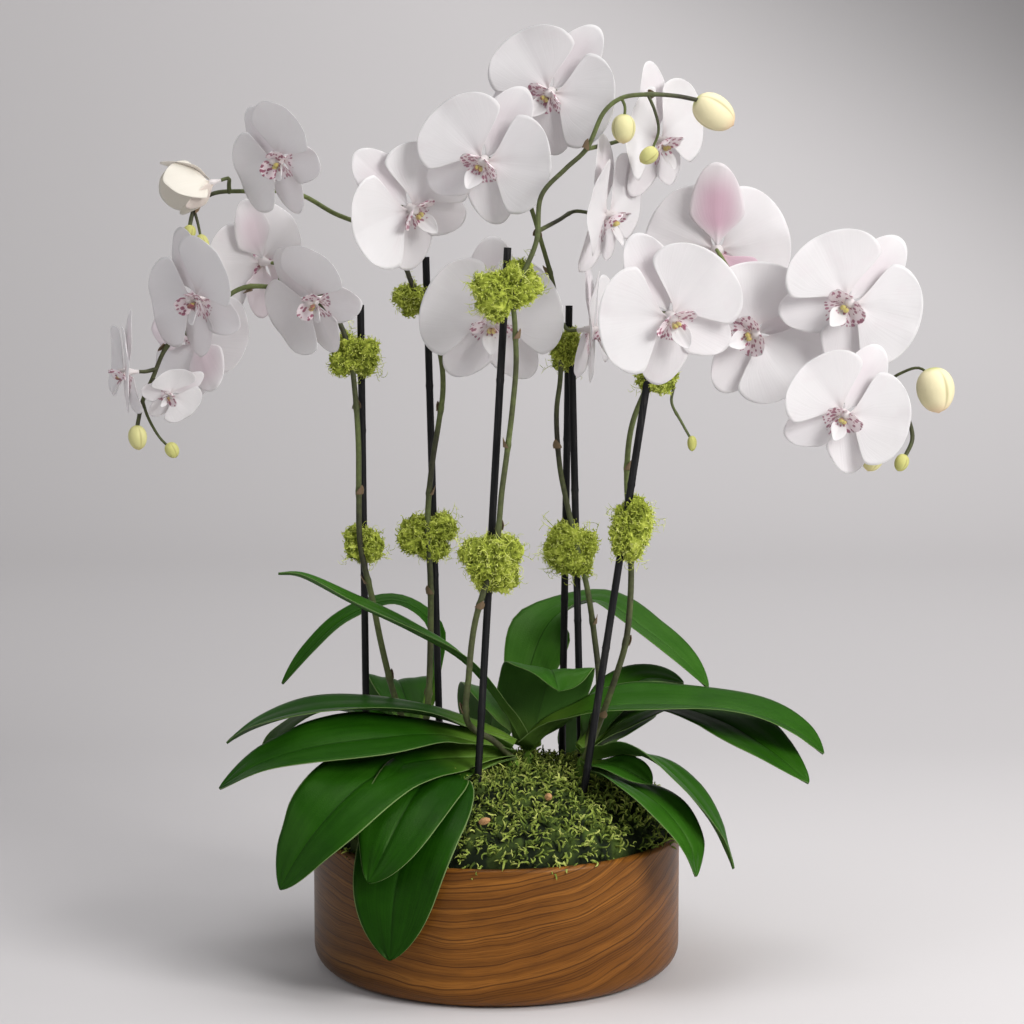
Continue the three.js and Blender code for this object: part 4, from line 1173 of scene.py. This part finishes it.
def blade(gathering, shape, place, paint, columns, rows, offset):
    """A petal, sepal or lobe that grows along +Z and looks towards -Y, in millimetres"""
    phase = offset * 37

    def grid(s, t):
        across = s * math.sqrt(1 - t * t / 2)
        along = (t * math.sqrt(1 - s * s / 2) + 1) / 2
        return across, along

    def surface(s, t, behind=0):
        across, along = grid(s, t)
        narrow = shape["root"] + (1 - shape["root"]) * smooth(along / shape["shoulder"])
        point = 1 - shape.get("point", 0) * smooth((along - 0.6) / 0.4)
        width = shape["half"] * narrow * (1 - shape["taper"] * smooth(along)) * point
        edge = math.sqrt(min(1, across * across + (2 * along - 1) ** 2))
        forward = shape["lift"] * along + shape["curl"] * along * along
        forward += shape["cup"] * across * across * along
        forward += shape["wave"] * math.sin(3.1 * across + 2.2 * along) * along
        frill = math.sin(5 * math.atan2(across, along - 0.4) + phase)
        frill *= smooth((edge - 0.55) / 0.45) * along
        forward += shape.get("frill", 0) * frill
        forward -= shape.get("crease", 0) * math.exp(-(across / 0.16) ** 2) * (1 - along)
        depth = shape["depth"] - forward + behind * PETAL_THICKNESS * (1 - 0.78 * edge ** 4)
        return (place @ Vector((across * width, depth, along * shape["length"]))) * MM

    def marks(s, t, side):
        across, along = grid(s, t)
        flat = (across * shape["half"] * MM, along * shape["length"] * MM, offset)
        return flat, paint(across, along, side)

    gathering.add(*sheet(surface, lambda s, t: surface(s, t, 1), columns, rows, marks))


def lump(gathering, outline, place, sides, tint, offset):
    """A small round body of the flower, turned about its own Y axis, in millimetres"""
    points, faces = revolve(outline, sides)
    turned_points = [Vector((p[0], p[2], p[1])) for p in points]
    marks = [((p.x * MM, p.z * MM, offset), tint) for p in turned_points]
    gathering.add([(place @ p) * MM for p in turned_points], faces, marks)


def flower(node, seed):
    _, _, centre, turn, tilt, roll, span, closed_by = BLOOMS[node]
    vary = Draws(seed).vary
    k = span / BLOOM_SPAN
    closed = math.radians(closed_by)
    stand = Matrix.Translation(Vector(centre)) @ facing(turn, tilt, roll)
    offset = seed * 0.31
    grown = Gathering()

    def whorl(angle):
        return (stand @ Matrix.Rotation(math.radians(angle), 4, "Y")
                @ Matrix.Rotation(closed, 4, "X") @ Matrix.Translation((0, 0, 3 * k)))

    arching = BUD_ARCHING if closed_by else 0
    cream = 0.22 if closed_by else 0.0
    flush = DEEP_FLUSH.get(node, 0.28)

    def petal_paint(across, along, side):
        root = 1 - smooth(along / 0.26)
        return 0.0, cream + 0.06 * root, 0.02 + 0.16 * root + 0.05 * side

    def sepal_paint(across, along, side):
        heart = (1 - across * across) * smooth(along / 0.3) * (1 - smooth((along - 0.55) / 0.45))
        return 0.0, cream, 0.03 + 0.10 * heart + flush * side * (0.12 + 0.88 * heart)

    def low_sepal_paint(across, along, side):
        dots = (1 - smooth((along - 0.20) / 0.16)) * (1 - side)
        return dots * 0.9, cream + 0.12 * (1 - smooth(along / 0.2)), 0.03 + flush * side

    def grow(size, angle, paint, grid, own_offset, **shape):
        length, half = size
        shape = {key: value * k if key in SCALED else value for key, value in shape.items()}
        shape.update(length=length * k, half=half * k * math.cos(closed))
        blade(grown, shape, whorl(angle), paint, *grid, own_offset)

    petals = []
    for side in (1, -1):
        form = dict(lift=2 + vary(1.5), curl=5 + vary(2) + arching, cup=4 + vary(2),
                    wave=side * (1.5 + vary(1)))
        petals.append((side * (67 + vary(3)), form))
    top_angle = vary(3)
    for angle, form in petals:
        grow(PETAL, angle, petal_paint, (26, 26), offset, root=0.14, shoulder=0.42, taper=0.04,
             depth=-2, frill=0.7, crease=1.6, **form)
    for number, low in enumerate((None, 142, -142)):
        angle = low + vary(4) if low else top_angle
        size, paint = (LOW_SEPAL, low_sepal_paint) if low else (TOP_SEPAL, sepal_paint)
        grow(size, angle, paint, (16, 20), offset + number, curl=-3 + vary(2) + arching,
             wave=vary(1.5), root=0.18, shoulder=0.42, taper=0.26, depth=2.5, lift=-3, cup=2,
             frill=0.3, crease=0.8)

    column = [(0, -11.5), (2.2, -11.2), (3.9, -9.4), (4.3, -7), (3.4, -4), (4.6, -1), (5.2, 1.5),
              (4.2, 5), (2.6, 10), (2, SEAT_DEPTH), (0, SEAT_DEPTH)]
    lump(grown, [(r * k, h * k) for r, h in column], stand, 20, (0.0, 0.06, 0.14), offset)
    if not closed_by:
        def mid_paint(across, along, side):
            return 0.9 * (1 - smooth(along / 0.7)), 0.8 * (1 - smooth((along - 0.02) / 0.22)), 0.03

        def side_paint(across, along, side):
            return 1.0 - 0.6 * smooth((along - 0.8) / 0.2), 0.5 * (1 - smooth(along / 0.22)), 0.03

        middle = dict(length=MIDDLE_LOBE[0] * k, half=MIDDLE_LOBE[1] * k, root=0.45, shoulder=0.5,
                      taper=0.2, depth=0, lift=8 * k, curl=5 * k, cup=4 * k, wave=0, point=0.4,
                      crease=1.5 * k)
        down = (stand @ Matrix.Translation((0, -4 * k, -3 * k)) @ Matrix.Scale(-1, 4, (0, 1, 0))
                @ Matrix.Rotation(math.pi, 4, "X"))
        blade(grown, middle, down, mid_paint, 14, 16, offset + 4)
        for side in (1, -1):
            lobe = dict(length=SIDE_LOBE[0] * k, half=SIDE_LOBE[1] * k, root=0.5, shoulder=0.45,
                        taper=0.08, depth=0, lift=0, curl=3 * k, cup=5 * k, wave=0,
                        frill=0.6 * k)
            stand_up = (stand @ Matrix.Translation((side * k, -3.5 * k, -2 * k))
                        @ Matrix.Rotation(math.radians(side * 52), 4, "Y")
                        @ Matrix.Rotation(math.radians(side * 38), 4, "Z")
                        @ Matrix.Rotation(math.radians(42), 4, "X"))
            blade(grown, lobe, stand_up, side_paint, 14, 14, offset + 5 + side)
        callus = [(0, -3.0), (1.3, -2.6), (2.1, -1.0), (2.3, 0.8), (1.5, 2.4), (0, 2.8)]
        for side in (1, -1):
            spot = stand @ Matrix.Translation((side * 1.7 * k, -9.5 * k, -7.0 * k))
            lump(grown, [(r * k, h * k) for r, h in callus], spot, 14, (0.35, 1.0, 0.0), offset)
    return grown.piece("flower" + node[5:], petal_finish, ("print", "tint"))


petal = Finish("white_petal")
spotted, golden, rosy = petal.parts(petal.attribute("tint"))
drawn = petal.attribute("print")
print_x, print_z, print_own = petal.parts(drawn)
speckle_place = petal.vector(print_x * 320, print_z * 230, print_own)
cells = petal.node("TexVoronoi", {"feature": "F1"}, {
    "Vector": speckle_place, "Scale": 1.0, "Randomness": 1.0}, output="Distance")
blush = petal.noise(drawn, 70.0, 2.0)
dots = (1 - cells.step(0.38, 0.44)) * (spotted + blush * 0.4 - 0.2).step(0.25, 0.40)
fan_way = petal.vector(print_x / (print_z + 0.02) * 26, print_z * 14, print_own)
fan = petal.noise(fan_way, 1.0, 2.0)
white = petal.mix(fan * 0.26, (0.875, 0.872, 0.874), (0.795, 0.788, 0.792))
# The lip is given a brighter pinkish white than the petals: partly its own colour and partly
# painted light against the shade inside the flower.
bright = petal.mix(spotted.step(0.5, 0.9) * 0.9, white, (0.980, 0.880, 0.910))
pink = petal.mix(rosy + blush.step(0.5, 0.8) * 0.05, bright, (0.640, 0.350, 0.470))
yellowed = petal.mix(golden * 0.90, pink, (0.640, 0.540, 0.070))
petal_finish = petal.surface({
    "Base Color": petal.mix(dots * 0.95, yellowed, (0.330, 0.020, 0.105)),
    "Roughness": 0.50 + fan * 0.15,
    "Specular IOR Level": 0.30,
    "Normal": petal.bump(fan, 0.00020),
}, glow=0.32, glow_colour=(0.95, 0.93, 0.93))
for number, node in enumerate(BLOOMS):
    hand_over(flower(node, 40 + number), "petal", node)


# The view: a pale floor that sweeps up far behind, soft studio light from a large window on the
# right, a weaker one on the left, one above and a lamp on the wall, and the camera at bloom height.
backdrop = Finish("pale_paper")
paper_x, paper_y, paper_z = backdrop.parts(backdrop.place())
# The paper's brightness is painted light and shade: lighter to the right and at the front, a
# painted shadow low on the left, and painted shade in the top right corner.
painted_light_right = paper_x.step(-1.3, 1.1)
front = 1 - paper_y.step(-0.1, 2.5)
corner = (paper_x + paper_z * 1.5).step(1.55, 3.20)
painted_shadow_left = (1 - paper_x.step(-0.75, -0.1)) * front
painted_light_and_shade = 0.455 + painted_light_right * 0.125 + front * 0.13 - painted_shadow_left * 0.055 - corner * 0.38
backdrop_finish = backdrop.surface({
    "Base Color": backdrop.mix(1.0, backdrop.vector(painted_light_and_shade, painted_light_and_shade, painted_light_and_shade),
                               (1.0, 0.965, 0.970), "MULTIPLY"),
    "Roughness": 0.9,
})
SWEEP_BACK = 4.3
SWEEP_ROUND = 1.6
SWEEP_HEIGHT = 3.6
FLOOR_FRONT = -7.0
WIDE = 7.0
profile = [(FLOOR_FRONT, 0.0), (SWEEP_BACK - SWEEP_ROUND, 0.0)]
profile += arc(SWEEP_BACK - SWEEP_ROUND, SWEEP_ROUND, SWEEP_ROUND, -90, 0, 16)[1:]
profile += [(SWEEP_BACK, SWEEP_HEIGHT)]
sweep_points = [(side * WIDE, y_place, z_place) for y_place, z_place in profile for side in (-1, 1)]
sweep_faces = [(2 * i, 2 * i + 1, 2 * i + 3, 2 * i + 2) for i in range(len(profile) - 1)]
sweep = mesh_piece("studio_sweep", sweep_points, sweep_faces, backdrop_finish)


def soft_light(name, place, aim, size, power, colour):
    data = bpy.data.lights.new(name, "AREA")
    data.shape = "RECTANGLE"
    data.size, data.size_y = size
    data.energy = power
    data.color = colour
    light = placed(name, data)
    light.location = place
    light.rotation_euler = (Vector(aim) - Vector(place)).to_track_quat("-Z", "Y").to_euler()


soft_light("window_right", (2.2, -2.0, 2.0), (0, 0, 0.4), (1.5, 1.5), 100, (1.0, 0.99, 0.98))
soft_light("window_left", (-2.4, -1.2, 1.6), (0, 0, 0.45), (1.6, 2.0), 16, (0.95, 0.97, 1.0))
soft_light("skylight", (0.3, 0.1, 2.9), (0, 0, 0), (2.2, 2.2), 44, (1.0, 1.0, 1.0))
soft_light("wall_lamp", (0.2, 1.5, 2.6), (0.2, 4.3, 2.0), (5.0, 1.0), 82, (1.0, 1.0, 1.0))

world = bpy.data.worlds.new("studio_air")
world.use_nodes = True
air = world.node_tree.nodes["Background"].inputs
air["Color"].default_value = (0.90, 0.89, 0.91, 1)
air["Strength"].default_value = 0.26
bpy.context.scene.world = world
bpy.context.scene.view_settings.view_transform = "Standard"

CAMERA_PITCH = 6.42
camera_data = bpy.data.cameras.new("camera")
camera_data.sensor_width = 36
camera_data.lens = 95.1
camera = placed("camera", camera_data)
camera.location = (0.0136, -2.328, 0.659)
camera.rotation_euler = (math.radians(90 - CAMERA_PITCH), 0, 0)
bpy.context.scene.camera = camera
